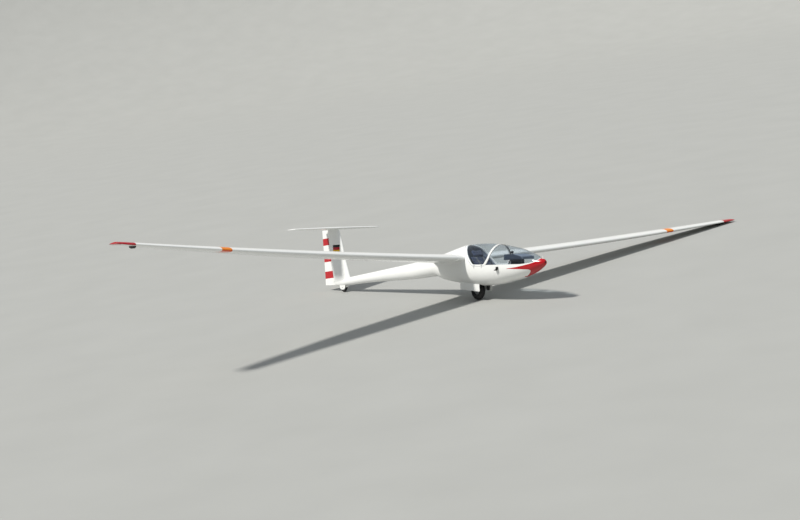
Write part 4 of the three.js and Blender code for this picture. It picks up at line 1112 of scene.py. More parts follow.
def gear_door(name, side):
    """One door of the wheel bay: a thin shell bowed like the belly that it closes, with ribs."""
    low = [Vector((x, z)) for x, z in round_outline(DOOR, 0.028)]
    bottom, top = min(point.y for point in low), max(point.y for point in low)

    def bowed(bm, out):
        for vert in bm.verts:
            share = (vert.co.z - bottom) / (top - bottom)
            vert.co.y += side * out * (1 - (2 * min(max(share, 0), 1) - 1) ** 2)
        return bm

    ys = sorted((side * WELL_HALF, side * (WELL_HALF + 0.005)))
    plate = slab([tuple(point) for point in low], ys)
    for at in between(bottom + 0.012, top - 0.012, 9):
        geom = plate.verts[:] + plate.edges[:] + plate.faces[:]
        bmesh.ops.bisect_plane(plate, geom=geom, plane_co=(0, 0, at), plane_no=(0, 0, 1))
    plate = bowed(plate, 0.004)
    ribs = [bowed(box((x - 0.006, x + 0.006),
                      sorted((side * (WELL_HALF - 0.004), side * (WELL_HALF + 0.0005))),
                      (-0.565, -0.45)), 0.0) for x in (-0.25, -0.06, 0.13)]
    shell = worked(merged(softened(plate, 0.001), *ribs), (CUT, hull(-0.5, 0.4, -TOUCH)))
    piece(f"gear_door_shell_{name}", shell, [PLAIN_PAINT], stands_for=f"gear_door_{name}")


for side_name, side_sign in SIDES:
    gear_door(side_name, side_sign)


def tail_gear():
    """The white fairing round the tail wheel: two cheeks joined over the tyre, rounded ahead and drawn out
    behind."""
    x, z = TAIL_WHEEL["x"], TAIL_WHEEL["z"]
    cheeks = []
    for _, side in SIDES:
        ys = sorted((side * 0.031, side * 0.0397))
        outline = round_outline([(x - 0.060, -0.350), (x - 0.036, z - 0.010), (x + 0.034, z - 0.010),
                                 (x + 0.075, -0.350)], 0.02)
        cheeks.append(softened(slab(outline, ys), 0.002, 3))
        cheeks.append(bolt((x, side * 0.0395, z), (0, side, 0), 0.008))
    bridge = box((x - 0.060, x + 0.075), (-0.0397, 0.0397), (-0.351, -0.345 - TOUCH))
    piece("tail_wheel_fairing", merged(*cheeks, bridge), PLAIN_PAINT, stands_for="tail_fork")
    # Spat: a domed white cheek over the upper part of the tyre on each side
    spats = []
    for _, side in SIDES:
        ys = sorted((side * 0.0402, side * 0.0440))
        outline = round_outline([(x - 0.104, -0.400), (x - 0.100, z - 0.018), (x - 0.040, z - 0.048),
                                 (x + 0.040, z - 0.048), (x + 0.092, z - 0.012), (x + 0.100, -0.400)],
                                0.035, 8)
        cheek = worked(softened(slab(outline, ys), 0.0015, 3), (CUT, hull(-4.6, -4.2, -TOUCH)))
        spats.append(cheek)
    near, far, low, high = 0.1060, 0.1085, 0.02, 0.75
    arc = [(x + far * cos(t), z + far * sin(t)) for t in between(low, high, 10)]
    arc += [(x + near * cos(t), z + near * sin(t)) for t in between(high, low, 10)]
    spats.append(worked(slab(arc, (-0.0270, 0.0270)), (CUT, hull(-4.6, -4.2, -TOUCH))))
    piece("tail_wheel_spat", merged(*spats), PLAIN_PAINT)
    piece("tail_axle_bar", rod((x, -0.046, z), (x, 0.046, z), 0.008, sides=32), STEEL,
          stands_for="tail_axle")


tail_gear()


# Small fittings of the outside
def fittings():
    for name, side in SIDES:
        y, length, width, depth = side * 7.120, 0.220, 0.016, 0.026
        lead = wing_point(y, 0.18, -wing_half(y, 0.3))
        outline = round_outline([(lead.x, lead.z + 0.030), (lead.x, lead.z - 0.008),
                                 (lead.x - 0.040, lead.z - depth),
                                 (lead.x - length + 0.060, lead.z - depth),
                                 (lead.x - length, lead.z - 0.006), (lead.x - length, lead.z + 0.030)],
                                0.006)
        skid = worked(softened(slab(outline, (y - width / 2, y + width / 2)), 0.002),
                      (CUT, wing_body(side, between(6.9, 7.3, 8))))
        piece(f"tip_skid_block_{name}", skid, BLACK, stands_for=f"tip_skid_{name}")
    scoop = round_outline([(0.866, -0.228), (0.868, -0.244), (0.896, -0.246), (0.936, -0.216),
                           (0.940, -0.176), (0.922, -0.176), (0.918, -0.206), (0.892, -0.228)], 0.006)
    scoop = worked(softened(slab(scoop, (-0.33, -0.26)), 0.0015), (CUT, hull(0.7, 1.1, -TOUCH)))
    piece("side_scoop_lip", scoop, BLACK, stands_for="side_scoop")
    hook = slab(round_outline([(0.335, -0.500), (0.330, -0.572), (0.312, -0.608), (0.280, -0.612),
                               (0.258, -0.590), (0.250, -0.500)], 0.010), (-0.014, 0.014))
    hook = worked(hook, (CUT, hull(0.1, 0.6, -TOUCH)),
                  (CUT, rod((0.288, -0.03, -0.586), (0.288, 0.03, -0.586), 0.009)))
    hook = merged(softened(hook, 0.001),
                  *(bolt((0.312, side * 0.014, -0.548), (0, side, 0), 0.004) for _, side in SIDES))
    piece("tow_hook_jaw", hook, BLACK_STEEL, stands_for="tow_hook")
    ring = [(INLET_RADIUS - 0.004, 1.860), (INLET_RADIUS - 0.004, 1.929), (INLET_RADIUS - 0.002, 1.931),
            (INLET_RADIUS - 0.0004, 1.9305), (INLET_RADIUS - 0.0004, 1.860)]
    inlet = turned([(radius, at - 1.9) for radius, at in ring], 0, 0, 48)
    bmesh.ops.transform(inlet, matrix=Matrix.Translation((1.9, 0, INLET_Z))
                        @ Matrix.Rotation(-pi / 2, 4, "Z"), verts=inlet.verts)
    piece("nose_inlet_ring", inlet, BLACK, stands_for="nose_inlet")
    foot = (1.862, 0, -0.090)
    post = pole([(0.008, 0), (0.008, 0.009), (0.022, 0.009), (0.026, 0.005), (0.060, 0.004),
                 (0.068, 0.0036), (0.0715, 0.002), (0.072, 0)], foot, (1.862, 0, 0))
    post = worked(post, (CUT, hull(1.7, NOSE, -TOUCH)))
    piece("nose_post_tube", post, PLAIN_PAINT, stands_for="nose_post")
    # Wing roots: a fillet between the wing and the fuselage, and the white tape over the gap of each wing
    for name, side in SIDES:
        piece(f"wing_root_fillet_{name}", merged(root_fillet(side), root_wedge(side)), PLAIN_PAINT)
        piece(f"root_gap_tape_{name}", wing_band(side, 0.410, 0.450, 0.0004), TAPE)


def wing_band(side, inner, outer, grow):
    """A tape round the wing between two distances from the centre line."""
    rings = []
    for out, lift in ((inner, -0.001), (inner, grow), (outer, grow), (outer, -0.001)):
        chord, t, _ = row(WING, out)
        rings.append([wing_point(side * out, at, up * chord + copysign(lift, up - camber_line(at)))
                      for at, up in section(t, True)])
    columns = len(rings[0])
    bm = sheet(4, columns, lambda row, column: rings[row % 4][column % columns], ends=False)
    bmesh.ops.recalc_face_normals(bm, faces=bm.faces)
    return bm


def root_wedge(side):
    """The fairing behind the wing's trailing edge, drawn out to a point along the fuselage."""
    trail = wing_point(side * 0.33, 1.0)
    tip_x, inside = trail.x - 0.170, 0.006
    bm = bmesh.new()
    for x, out, half in ((trail.x + 0.030, hull_side(trail.x + 0.030, trail.z) - inside, 0.010),
                         (tip_x, hull_side(tip_x, trail.z) - inside, 0.002),
                         (trail.x + 0.004, hull_side(trail.x, trail.z) + 0.105, 0.002)):
        for lift in (-half, half):
            bm.verts.new((x, side * out, trail.z + lift))
    bmesh.ops.convex_hull(bm, input=bm.verts)
    bmesh.ops.recalc_face_normals(bm, faces=bm.faces)
    return bm


ROOT_OUT = 0.30


def root_fillet(side):
    """The concave skin that runs round the wing's section where it meets the fuselage."""
    chord, root = smooth(WING, ROOT_OUT, 1), section(smooth(WING, ROOT_OUT, 2), True, 24)
    rows = []
    for at, up in root:
        flank = wing_point(side * ROOT_OUT, at, up * chord)
        reach = 0.030 + 0.045 * max(0, at - 0.55)
        spread = Vector((0, 0, 1 if up >= camber_line(at) else -1))
        skin_at = hull_side(flank.x, flank.z)
        corner = Vector((flank.x, side * skin_at, flank.z))
        lift = flank.z + spread.z * reach
        on_hull = Vector((flank.x, side * hull_side(flank.x, lift), lift))
        out = skin_at + reach
        on_wing = wing_point(side * out, at, up * smooth(WING, out, 1))
        inner = corner - Vector((0, side * 0.006, 0)) - spread * 0.004
        proud = Vector((0, side * TOUCH, 0)) + spread * TOUCH
        rows.append([on_hull.lerp(corner, t).lerp(corner.lerp(on_wing, t), t) + proud
                     for t in between(0, 1, 8)] + [inner])
    return sheet(len(rows) - 1, 10, lambda row, column: rows[row][column % 10])


def hull_side(x, z):
    top, bottom, half, wide, above, below = row(FUSELAGE, x)
    height, power = (top - wide, above) if z > wide else (wide - bottom, below)
    return half * max(0.0, 1 - min(abs((z - wide) / height), 1) ** power) ** (1 / power)


def tape(tree):
    """Thin white sealing tape: satin, with a faint fine crimp and grey patches where dirt sticks."""
    place = add(tree, "TexCoord", output="Object")
    dirt = add(tree, "TexNoise", {"Vector": place, "Scale": 40.0, "Detail": 4.0})
    share = add(tree, "MapRange", {"Value": dirt, "From Min": 0.5, "From Max": 0.8, "To Min": 0.0,
                                   "To Max": 0.2})
    colour = add(tree, "Mix", {"Factor": share, "A": linear("EDEEEC"), "B": linear("B9B6AE")},
                 data_type="RGBA", output="Result")
    bump = add(tree, "Bump", {"Height": dirt, "Strength": 0.1, "Distance": 0.0005})
    return add(tree, "BsdfPrincipled", {"Base Color": colour, "Roughness": 0.45, "Normal": bump})


TAPE = finish("white sealing tape", tape)
fittings()


# Cockpit
def cloth(name, hexes, light):
    """Woven seat cloth: crossed threads drawn at 3 mm, where the real ones are 1 mm, a soft sheen and a
    little lint."""
    def make(tree):
        place = level_place(tree)[0]

        def threads(way):
            along = add(tree, "VectorMath", {0: place, 1: way}, operation="DOT_PRODUCT", output="Value")
            turns = add(tree, "Math", {0: along, 1: 2 * pi / 0.003}, operation="MULTIPLY")
            return add(tree, "Math", {0: turns}, operation="SINE")

        weave = add(tree, "Math", {0: threads((0, 1, 0)), 1: threads((-0.63, 0, 0.776))},
                    operation="MULTIPLY")
        lint = add(tree, "TexNoise", {"Vector": place, "Scale": 26.0, "Detail": 5.0})
        share = add(tree, "Math", {0: weave, 1: 0.18, 2: lint}, operation="MULTIPLY_ADD")
        reach = add(tree, "MapRange", {"Value": share, "From Min": 0.3, "From Max": 0.9})
        colour = add(tree, "Mix", {"Factor": reach, "A": linear(hexes), "B": linear(light)},
                     data_type="RGBA", output="Result")
        bump = add(tree, "Bump", {"Height": weave, "Strength": 0.3, "Distance": 0.0006})
        return add(tree, "BsdfPrincipled", {"Base Color": colour, "Roughness": 0.9, "Sheen Weight": 0.25,
                                            "Sheen Roughness": 0.5, "Normal": bump})
    return finish(name, make)


SEAT_CLOTH = cloth("dark blue seat cloth", "27324E", "3D4A6B")
WEBBING = cloth("grey harness webbing", "55585E", "7C8087")
SEAT_FOOT = Vector((0.441, 0, -0.4385))
SEAT_UP, SEAT_OUT = Vector((-0.6303, 0, 0.7764)), Vector((0.7764, 0, 0.6303))
BELT = 0.0016
VOXEL, PRESSURE, FRAMES = 0.006, 4.0, 20
CHANNEL_DEPTH, CHANNEL_WIDTH, SEAM_WIDTH = 0.0048, 0.0055, 0.004


def trimmed(bm):
    """What lies inside the cockpit's walls."""
    return worked(bm, (KEEP, hull(CABIN[0] + TOUCH, CABIN[1] - TOUCH, WALL + TOUCH)))


def cushion(outline, thick, foot, way_up, way_out, swell, sewn):
    """A padded body laid out flat as width and height, blown up by cloth simulation, then sewn: its
    channels and the seam round its edge are drawn in."""
    pad = linked("pad", meshed("pad", slab(round_outline(outline, 0.02, 6), (-thick / 2, thick / 2))))
    grid = pad.modifiers.new("grid", "REMESH")
    grid.mode, grid.voxel_size = "VOXEL", VOXEL
    flat = bpy.data.meshes.new_from_object(evaluated(pad))
    pad.modifiers.clear()
    pad.data = flat
    start = [vert.co.copy() for vert in flat.vertices]
    blown = pad.modifiers.new("blown", "CLOTH")
    blown.settings.use_pressure = True
    blown.settings.uniform_pressure_force = PRESSURE
    blown.settings.effector_weights.gravity = 0
    for step in range(1, FRAMES + 1):
        bpy.context.scene.frame_set(step)
    full = evaluated(pad).to_mesh()
    moved = [vert.co - at for vert, at in zip(full.vertices, start)]
    bpy.context.scene.frame_set(1)
    pad.modifiers.clear()
    for vert, at, shift in zip(flat.vertices, start, moved):
        vert.co = at + shift * min(1.0, swell / max(shift.length, 1e-9))
    fine = pad.modifiers.new("fine", "SUBSURF")
    fine.levels = fine.render_levels = 1
    bm = bmesh.new()
    bm.from_mesh(evaluated(pad).to_mesh())
    bpy.data.objects.remove(pad)
    half = thick / 2
    for vert in bm.verts:
        co = vert.co
        if co.y > half * 0.5:
            co.y -= sum(CHANNEL_DEPTH * exp(-((co.z - at) / CHANNEL_WIDTH) ** 2) for at in sewn)
        edge = exp(-(co.y / SEAM_WIDTH) ** 2)
        co.x *= 1 - 0.012 * edge
        co.z += (0.002 if co.z < outline[-1][1] / 2 else -0.002) * edge
    way_across = way_up.cross(way_out)
    turn = Matrix((way_across, way_out, way_up)).transposed().to_4x4()
    bmesh.ops.transform(bm, matrix=Matrix.Translation(foot) @ turn, verts=bm.verts)
    bmesh.ops.recalc_face_normals(bm, faces=bm.faces)
    return bm


def seat():
    back = cushion([(-0.172, 0.0), (0.172, 0.0), (0.205, 0.16), (0.205, 0.602), (-0.205, 0.602),
                    (-0.205, 0.16)], 0.016, SEAT_FOOT + SEAT_UP * 0.002, SEAT_UP, SEAT_OUT, 0.0055,
                   (0.12, 0.235, 0.35, 0.465))
    surface = BVHTree.FromBMesh(back)
    pad = piece("backrest_cushion", back, SEAT_CLOTH, stands_for="backrest", crease=60)
    head_up = Vector((-0.0817, 0, 0.1005)).normalized()
    head_out = Vector((head_up.z, 0, -head_up.x))
    foot = Vector((0.0700, 0, 0.0418)) + head_up * 0.001
    head = cushion([(-0.113, 0.0), (0.113, 0.0), (0.115, 0.127), (-0.115, 0.127)], 0.044, foot, head_up,
                   head_out, 0.0070, (0.064,))
    rest = piece("headrest_cushion", head, SEAT_CLOTH, stands_for="headrest", crease=60)
    pan = slab([(0.980, -0.410), (0.980, -0.418), (0.840, -0.452), (0.470, -0.462), (0.440, -0.458),
                (0.440, -0.450), (0.475, -0.452), (0.836, -0.443)], (-0.215, 0.215))
    slot = box((0.700, 0.790), (-0.012, 0.012), (-0.5, -0.42))
    pan = worked(trimmed(pan), (CUT, slot))
    screws = [bolt((x, side * 0.150, z), (0.12, 0, 1), 0.004) for x, z in ((0.52, -0.4505), (0.80, -0.4442))
              for _, side in SIDES]
    piece("seat_pan_sheet", merged(pan, *screws), GREY_PAINT, stands_for="seat_pan")
    shelf_board = trimmed(box((-0.400, 0.040), (-0.4, 0.4), (-0.008, 0.0)))
    lip = [trimmed(box((0.028, 0.040), (-0.24, 0.24), (0.0, 0.010)))]
    piece("shelf_board", merged(shelf_board, *lip), LINING, stands_for="shelf")
    return surface


backrest_surface = seat()


def strap(name, line, across, width):
    """A flat belt of webbing along a line."""
    points = curved(line, 6)
    length = sum((b - a).length for a, b in zip(points, points[1:]))

    def place(row, column):
        way = (points[min(row + 1, len(points) - 1)] - points[max(row - 1, 0)]).normalized()
        side = (across - way * across.dot(way)).normalized()
        up = side.cross(way)
        s, t = ((-1, -1), (1, -1), (1, 1), (-1, 1))[column % 4]
        return points[row] + side * (s * width / 2) + up * (t * BELT / 2)

    belt = piece(name, sheet(len(points) - 1, 4, place), WEBBING)


def on_back(up, out, width):
    """A point of a belt that lies on the backrest: its height along it and its place across. The belt
    bridges the channels."""
    highest = 0.0
    for rise in (-0.014, 0.0, 0.014):
        for shift in (-width / 2, 0.0, width / 2):
            start = SEAT_FOOT + SEAT_UP * (up + rise) + SEAT_OUT * 0.1 + Vector((0, out + shift, 0))
            hit = backrest_surface.ray_cast(start, -SEAT_OUT)[0]
            if hit:
                highest = max(highest, (hit - SEAT_FOOT).dot(SEAT_OUT))
    return SEAT_FOOT + SEAT_UP * up + SEAT_OUT * (highest + BELT) + Vector((0, out, 0))


def on_pan(x, y, lift=BELT):
    """A point of a belt over the seat pan, which climbs forward."""
    return Vector((x, y, -0.452 + (x - 0.475) * 0.0249 + lift))


def harness():
    parts = []
    for name, side in SIDES:
        lap = [(0.440, side * 0.168, -0.4230), on_pan(0.462, side * 0.156, 0.012),
               on_pan(0.490, side * 0.138), on_pan(0.530, side * 0.095), on_pan(0.552, side * 0.045),
               on_pan(0.560, side * 0.020, 0.005)]
        strap(f"lap_belt_{name}", lap, Vector((0.8, side * 0.2, 0.0)), 0.042)
        reach = 0.040
        shoulder = [on_back(0.585, side * 0.085, reach) - SEAT_OUT * 0.012 + SEAT_UP * 0.014]
        shoulder += [on_back(up, side * (0.050 + 0.060 * up), reach) for up in between(0.585, 0.075, 17)]
        shoulder += [Vector((0.486, side * 0.050, -0.420)), on_pan(0.512, side * 0.040, 0.008),
                     on_pan(0.545, side * 0.018, 0.006)]
        strap(f"shoulder_belt_{name}", shoulder, Vector((0, 1, 0)), reach)
        adjuster = softened(box((-0.026, 0.026), (-0.0032, 0.0032), (-0.014, 0.014)), 0.0012)
        way = Matrix((Vector((0, 1, 0)), SEAT_OUT, SEAT_UP)).transposed().to_4x4()
        place = Matrix.Translation(on_back(0.30, side * 0.068, 0.05) + SEAT_OUT * 0.002) @ way
        parts.append(set_in(place, adjuster))
    profile = [(0, 0), (0, 0.024), (0.003, 0.027), (0.009, 0.027), (0.012, 0.024), (0.013, 0.016),
               (0.016, 0.015), (0.017, 0.0)]
    buckle = on_pan(0.566, 0, 0.002)
    parts.append(pole(profile, buckle, buckle + Vector((0.02, 0, 1))))
    piece("harness_fittings", merged(*parts), STEEL)


harness()


def facing(at, way, up):
    """A place whose Z runs along a way and whose Y runs up."""
    way = Vector(way).normalized()
    up = (Vector(up) - way * way.dot(Vector(up))).normalized()
    return Matrix.Translation(at) @ Matrix((up.cross(way), up, way)).transposed().to_4x4()


def dial(place, radius, needle):
    """A round instrument: the raised bezel and recessed face, and apart from it its ticks and needle."""
    case = pole([(0, 0), (0, radius), (0.0055, radius), (0.007, radius * 0.97), (0.007, radius * 0.89),
                 (0.004, radius * 0.86), (0.004, 0)], (0, 0, 0), (0, 0, 1), 40)
    marks = []
    for i in range(12):
        tick = box((radius * 0.64, radius * 0.80), (-0.0008, 0.0008), (0.0040, 0.0043))
        marks.append(set_in(Matrix.Rotation(pi * i / 6, 4, "Z"), tick))
    hand = slab([(-radius * 0.18, -0.0009), (radius * 0.60, -0.0003), (radius * 0.60, 0.0003),
                 (-radius * 0.18, 0.0009)], (0, 0.0003))
    hand = set_in(Matrix.Rotation(needle, 4, "Z") @ Matrix.Translation((0, 0, 0.0046))
                  @ Matrix.Rotation(pi / 2, 4, "X"), hand)
    marks.append(hand)
    return set_in(place, case), set_in(place, merged(*marks))


IVORY = plastic("ivory instrument paint", "ECE9DC", 0.5)
DISPLAY = plastic("grey-green display", "7E8C7C", 0.2)
PANEL_FOOT, PANEL_BROW = Vector((0.945, 0, -0.060)), Vector((0.965, 0, 0.045))
STAND_TOP, STAND_FOOT = Vector((1.030, 0, -0.059)), Vector((1.090, 0, -0.460))


def instruments():
    top = softened(slab([(0.945, -0.060), (0.965, 0.045), (1.250, 0.045), (1.465, -0.010), (1.465, -0.060)],
                        (-0.150, 0.150)), 0.009, 4)
    repaint(top, 1, lambda co: co.x > 1.262)
    stand = trimmed(slab([(1.030, -0.0595), (1.090, -0.460), (1.240, -0.440), (1.285, -0.110),
                          (1.285, -0.0595)], (-0.062, 0.062)))
    piece("panel_cover", merged(top, stand), [NAVY, LINING], stands_for="instrument_pod")
    rise = (PANEL_BROW - PANEL_FOOT).normalized()
    aft = Vector((-rise.z, 0, rise.x))
    cases, paints = [], []
    for out, radius, needle in ((-0.094, 0.040, 2.2), (0.0, 0.040, 0.8), (0.094, 0.040, 3.6)):
        case, paint = dial(facing(PANEL_FOOT + rise * 0.052 + Vector((0, out, 0)), aft, rise), radius,
                           needle)
        cases.append(case)
        paints.append(paint)
    drop = (STAND_FOOT - STAND_TOP).normalized()
    back = Vector((drop.z, 0, -drop.x))
    for reach, radius, needle in ((0.045, 0.030, 1.1), (0.115, 0.030, 4.0)):
        case, paint = dial(facing(STAND_TOP + drop * reach, back, -drop), radius, needle)
        cases.append(case)
        paints.append(paint)
    # Radio: a flat box with a dark window and two knobs
    radio = set_in(facing(STAND_TOP + drop * 0.190, back, -drop),
                   softened(box((-0.045, 0.045), (-0.026, 0.026), (0, 0.010)), 0.002))
    cases.append(radio)
    for out in (-0.030, 0.030):
        knob = pole([(0.010, 0), (0.010, 0.0095), (0.014, 0.009), (0.022, 0.0075), (0.023, 0.006),
                     (0.023, 0)], (0, 0, 0), (0, 0, 1), 24)
        cases.append(set_in(facing(STAND_TOP + drop * 0.190 + Vector((0, out, 0)), back, -drop), knob))
    window = softened(box((-0.018, 0.018), (-0.008, 0.010), (0.0095, 0.0108)), 0.0005)
    window = set_in(facing(STAND_TOP + drop * 0.190, back, -drop), window)
    piece("radio_display", window, DISPLAY)
    piece("instrument_cases", merged(*cases), BLACK)
    piece("instrument_marks", merged(*paints), IVORY)
    # Compass: a ball on its foot, with a window towards the seat
    x, deck, ball, z = 1.030, 0.045, 0.028, 0.080
    round_ball = pole([(ball * (1 - cos(t)), ball * sin(t)) for t in between(0, pi, 24)],
                      (x, 0, z - ball), (x, 0, z), 40)
    foot = pole([(0, 0), (0, 0.0100), (0.004, 0.0100), (0.006, 0.007), (z - ball + 0.004 - deck, 0.006),
                 (z - ball + 0.004 - deck, 0)], (x, 0, deck + TOUCH), (x, 0, z))
    rim = pole([(0, 0.0145), (0.002, 0.0160), (0.004, 0.0145), (0.004, 0.0120), (0, 0.0120), (0, 0.0145)],
               (x - 0.0235, 0, z), (x - 0.05, 0, z))
    piece("compass_ball", merged(foot, round_ball, rim), BLACK, stands_for="compass")
    card = merged(*(set_in(Matrix.Translation((x - 0.0262, 0, z)) @ Matrix.Rotation(turn, 4, "X"),
                           box((-0.0004, 0.0004), (-0.0006, 0.0006), (0.004, 0.0085)))
                    for turn in between(0, 2 * pi, 8)[:-1]))
    piece("compass_marks", card, IVORY)


instruments()


def controls():
    foot, bend, head = Vector((0.740, 0, -0.4442)), Vector((0.770, 0, -0.250)), Vector((0.786, 0, -0.150))
    folds = [(0, 0), (0, 0.030)]
    for i in range(5):
        folds += [(0.0012 + i * 0.0032, 0.0295 - i * 0.0030), (0.0028 + i * 0.0032, 0.0262 - i * 0.0030)]
    boot = pole(folds + [(0.0190, 0.0105), (0.0190, 0)], foot, foot + Vector((0, 0, 1)), 40)
    shaft = pole([(0.010, 0), (0.010, 0.0098), (0.190, 0.0098), (0.190, 0)], foot, bend)
    length = (head - bend).length + 0.012
    swells = [(0, 0), (0, 0.0145), (0.004, 0.0162), (0.020, 0.0150), (0.030, 0.0166), (0.043, 0.0154),
              (0.053, 0.0170), (0.066, 0.0158), (0.076, 0.0175), (0.090, 0.0182), (length - 0.012, 0.0186),
              (length - 0.004, 0.0165), (length, 0.010), (length, 0)]
    way = (head - bend).normalized()
    grip = pole(swells, bend - way * 0.012, head, 36)
    piece("stick_and_grip", merged(boot, shaft, grip), BLACK, stands_for="control_stick")
    button = pole([(0, 0), (0, 0.005), (0.004, 0.005), (0.006, 0.003), (0.006, 0)], bend + way * 0.086
                  - Vector((0.0165, 0, 0)), bend + way * 0.086 - Vector((0.05, 0, 0)))
    piece("stick_button", button, RED_KNOB)
    x, z = 1.470, -0.300
    parts = [rod((x, -0.120, z), (x, 0.120, z), 0.008)]
    for _, side in SIDES:
        ys = sorted((side * 0.060, side * 0.130))
        plate = softened(slab([(1.462, -0.305), (1.478, -0.305), (1.512, -0.180), (1.500, -0.176)], ys),
                         0.002)
        parts.append(plate)
        for step in (0.25, 0.42, 0.59, 0.76, 0.92):
            at = Vector((1.462, 0, -0.305)).lerp(Vector((1.500, 0, -0.176)), step)
            parts.append(rod((at.x, ys[0] + 0.006, at.z), (at.x, ys[1] - 0.006, at.z), 0.0022, sides=12))
        parts.append(bolt((x, side * 0.1200, z), (0, side, 0), 0.006))
    post = trimmed(box((x - 0.015, x + 0.015), (-0.012, 0.012), (-0.420, z + 0.005)))
    piece("pedal_plates", merged(*parts, post), STEEL, stands_for="rudder_pedals")
    # Airbrake lever on the left wall, with its blue handle
    z = -0.235
    rail = rod((0.620, 0.250, z), (1.000, 0.236, z), 0.006)
    mounts = [trimmed(rod((at, 0.240, z), (at, 0.330, z), 0.007)) for at in (0.640, 0.980)]
    ends = [pole([(0, 0), (0, 0.0055), (0.003, 0.008), (0.007, 0.008), (0.009, 0.0055), (0.009, 0)], spot,
                 (1, 0.236, z)) for spot in ((0.615, 0.250, z), (0.985, 0.2365, z))]
    arm = rod((0.800, 0.243, z), (0.800, 0.205, z + 0.020), 0.007)
    piece("airbrake_rail", merged(rail, arm, *mounts, *ends), STEEL, stands_for="airbrake_lever")
    handle = pole([(0, 0), (0, 0.010), (0.004, 0.0125), (0.020, 0.0128), (0.036, 0.0115), (0.055, 0.0128),
                   (0.069, 0.0125), (0.074, 0.009), (0.075, 0)], (0.800, 0.205, z - 0.010),
                  (0.800, 0.205, z + 0.065))
    piece("airbrake_handle", handle, BLUE_KNOB)


controls()


def knob_on(wall_at, way, reach, size, colour, name):
    """A small push knob on a rod that comes out of a wall or a panel."""
    at, way = Vector(wall_at), Vector(way).normalized()
    stem = rod(at - way * 0.004, at + way * reach, size * 0.32, sides=16)
    collar = pole([(0, 0), (0, size * 0.8), (0.002, size * 0.8), (0.003, size * 0.6), (0.003, 0)], at,
                  at + way)
    piece(f"{name}_stem", merged(stem, collar), STEEL)
    top = pole([(0, 0), (0, size * 0.5), (size * 0.5, size * 0.95), (size * 1.2, size),
                (size * 1.7, size * 0.7), (size * 1.8, 0)], at + way * reach, at + way * (reach + 1))
    piece(f"{name}_knob", top, colour)


def side_controls():
    knob_on((1.0445, -0.048, -0.155), (-0.989, 0, -0.148), 0.022, 0.009, YELLOW_KNOB, "tow_release")
    knob_on((1.0445, 0.048, -0.155), (-0.989, 0, -0.148), 0.018, 0.008, BLACK, "air_vent")
    for name, out, at, z, colour in (("trim", 1, 0.560, -0.300, GREEN_KNOB),
                                     ("canopy_release", -1, 0.600, -0.215, RED_KNOB)):
        wall = out * (hull_side(at, z) - WALL)
        knob_on((at, wall, z), (0, -out, 0.15), 0.016, 0.008, colour, name)
    # Wheel bay: the painted box over the wheel
    outer = trimmed(box((CABIN[0] + TOUCH, WELL_X[1] + WELL_WALL),
                        (-WELL_HALF - WELL_WALL, WELL_HALF + WELL_WALL), (-0.6, WELL_ROOF + WELL_WALL)))
    bay = worked(outer, (CUT, box((-0.400, WELL_X[1]), (-WELL_HALF, WELL_HALF), (-0.7, WELL_ROOF))))
    piece("wheel_bay_box", bay, GREY_PAINT, stands_for="wheel_box")


side_controls()


def canopy_latch():
    """The latch at the left sill: a lever on the canopy's frame, and its pull ball."""
    inside = hull_side(0.640, -0.085) - FRAME_DEPTH
    lever = softened(box((0.600, 0.650), (inside - 0.006, inside + 0.002), (-0.094, -0.082)), 0.0015)
    piece("canopy_latch_lever", lever, STEEL, "canopy")
    size = 0.0065
    ball = pole([(size * (1 - cos(t)), size * sin(t)) for t in between(0, pi, 12)],
                (0.604, inside - 0.004, -0.088), (0.604, inside - 0.1, -0.088), 20)
    piece("canopy_latch_ball", ball, RED_KNOB, "canopy")


canopy_latch()


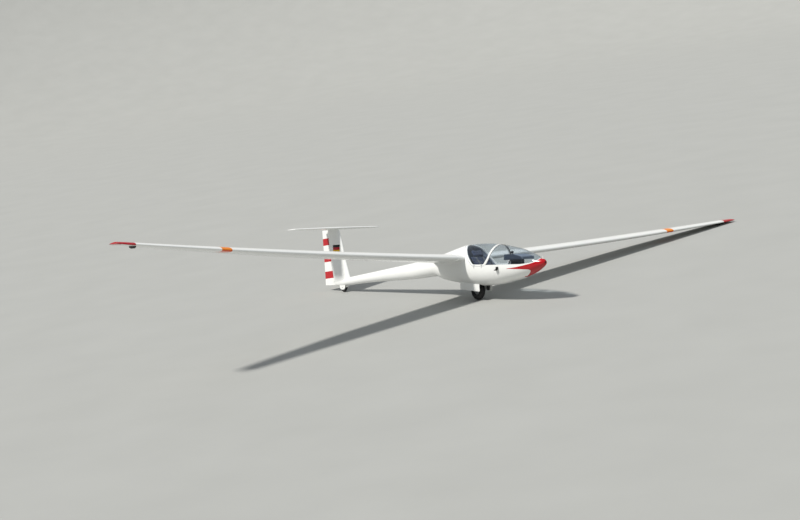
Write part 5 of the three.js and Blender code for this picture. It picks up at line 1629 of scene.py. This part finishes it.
# The floor, the camera at the photograph's angle and the studio light
def studio():
    # A wide floor whose far edge sweeps up all round, so that no view shows where it ends.
    def place(row, column):
        turn = 2 * pi * (column % 128) / 128
        out = 4 + 8 * row if row < 12 else 100 + 60 * sin((row - 12) / 8 * pi / 2)
        up = 0 if row < 12 else 60 - 60 * cos((row - 12) / 8 * pi / 2)
        return Vector((out * cos(turn), out * sin(turn), up))

    bm = sheet(20, 128, place, ends=False)
    bmesh.ops.holes_fill(bm, edges=[e for e in bm.edges if e.is_boundary and e.verts[0].co.z < 1], sides=0)
    for face in bm.faces:
        face.normal_update()
        if face.normal.dot(Vector((0, 0, 80)) - face.calc_center_median()) < 0:
            face.normal_flip()
    mesh = meshed("floor", bm)
    mesh.shade_smooth()

    def pale(tree):
        place = add(tree, "TexCoord", output="Object")
        cloud = add(tree, "TexNoise", {"Vector": place, "Scale": 0.6, "Detail": 5.0})
        colour = add(tree, "Mix", {"Factor": cloud, "A": linear("A2A3A0"), "B": linear("ABACA9")},
                     data_type="RGBA", output="Result")
        return add(tree, "BsdfPrincipled", {"Base Color": colour, "Roughness": 0.8})

    mesh.materials.append(finish("pale floor", pale))
    linked("floor", mesh)

    right, forward = Vector((0.6044, 0.7950, -0.0527)), Vector((-0.7960, 0.6053, 0.0031)).normalized()
    right = (right - forward * right.dot(forward)).normalized()
    up = right.cross(forward)
    turn = Matrix((right, up, -forward)).transposed().to_4x4()
    camera = linked("camera", bpy.data.cameras.new("camera"))
    camera.matrix_world = PARKED @ Matrix.Translation((24.134, -20.183, -0.051)) @ turn
    camera.data.lens, camera.data.sensor_width = 74.44, 36.0
    camera.data.clip_end = 1000
    bpy.context.scene.camera = camera

    # The sun of the photograph stands high on the glider's right, a little behind it, softened to a studio
    # lamp.
    sun = linked("key light", bpy.data.lights.new("key light", "SUN"))
    sun.data.energy, sun.data.angle, sun.data.color = 3.7, radians(6), (1.0, 0.965, 0.91)
    towards = PARKED.to_3x3() @ Vector((-0.115, -0.72, 0.74)).normalized()
    sun.matrix_world = towards.to_track_quat("Z", "Y").to_matrix().to_4x4()

    world = bpy.context.scene.world or bpy.data.worlds.new("studio")
    bpy.context.scene.world = world
    world.use_nodes = True
    tree = world.node_tree
    tree.nodes.clear()
    ambient = add(tree, "Background", {"Color": linear("D3DAE2"), "Strength": 0.62})
    add(tree, "OutputWorld", {"Surface": ambient})
    bpy.context.scene.view_settings.view_transform = "Standard"


studio()
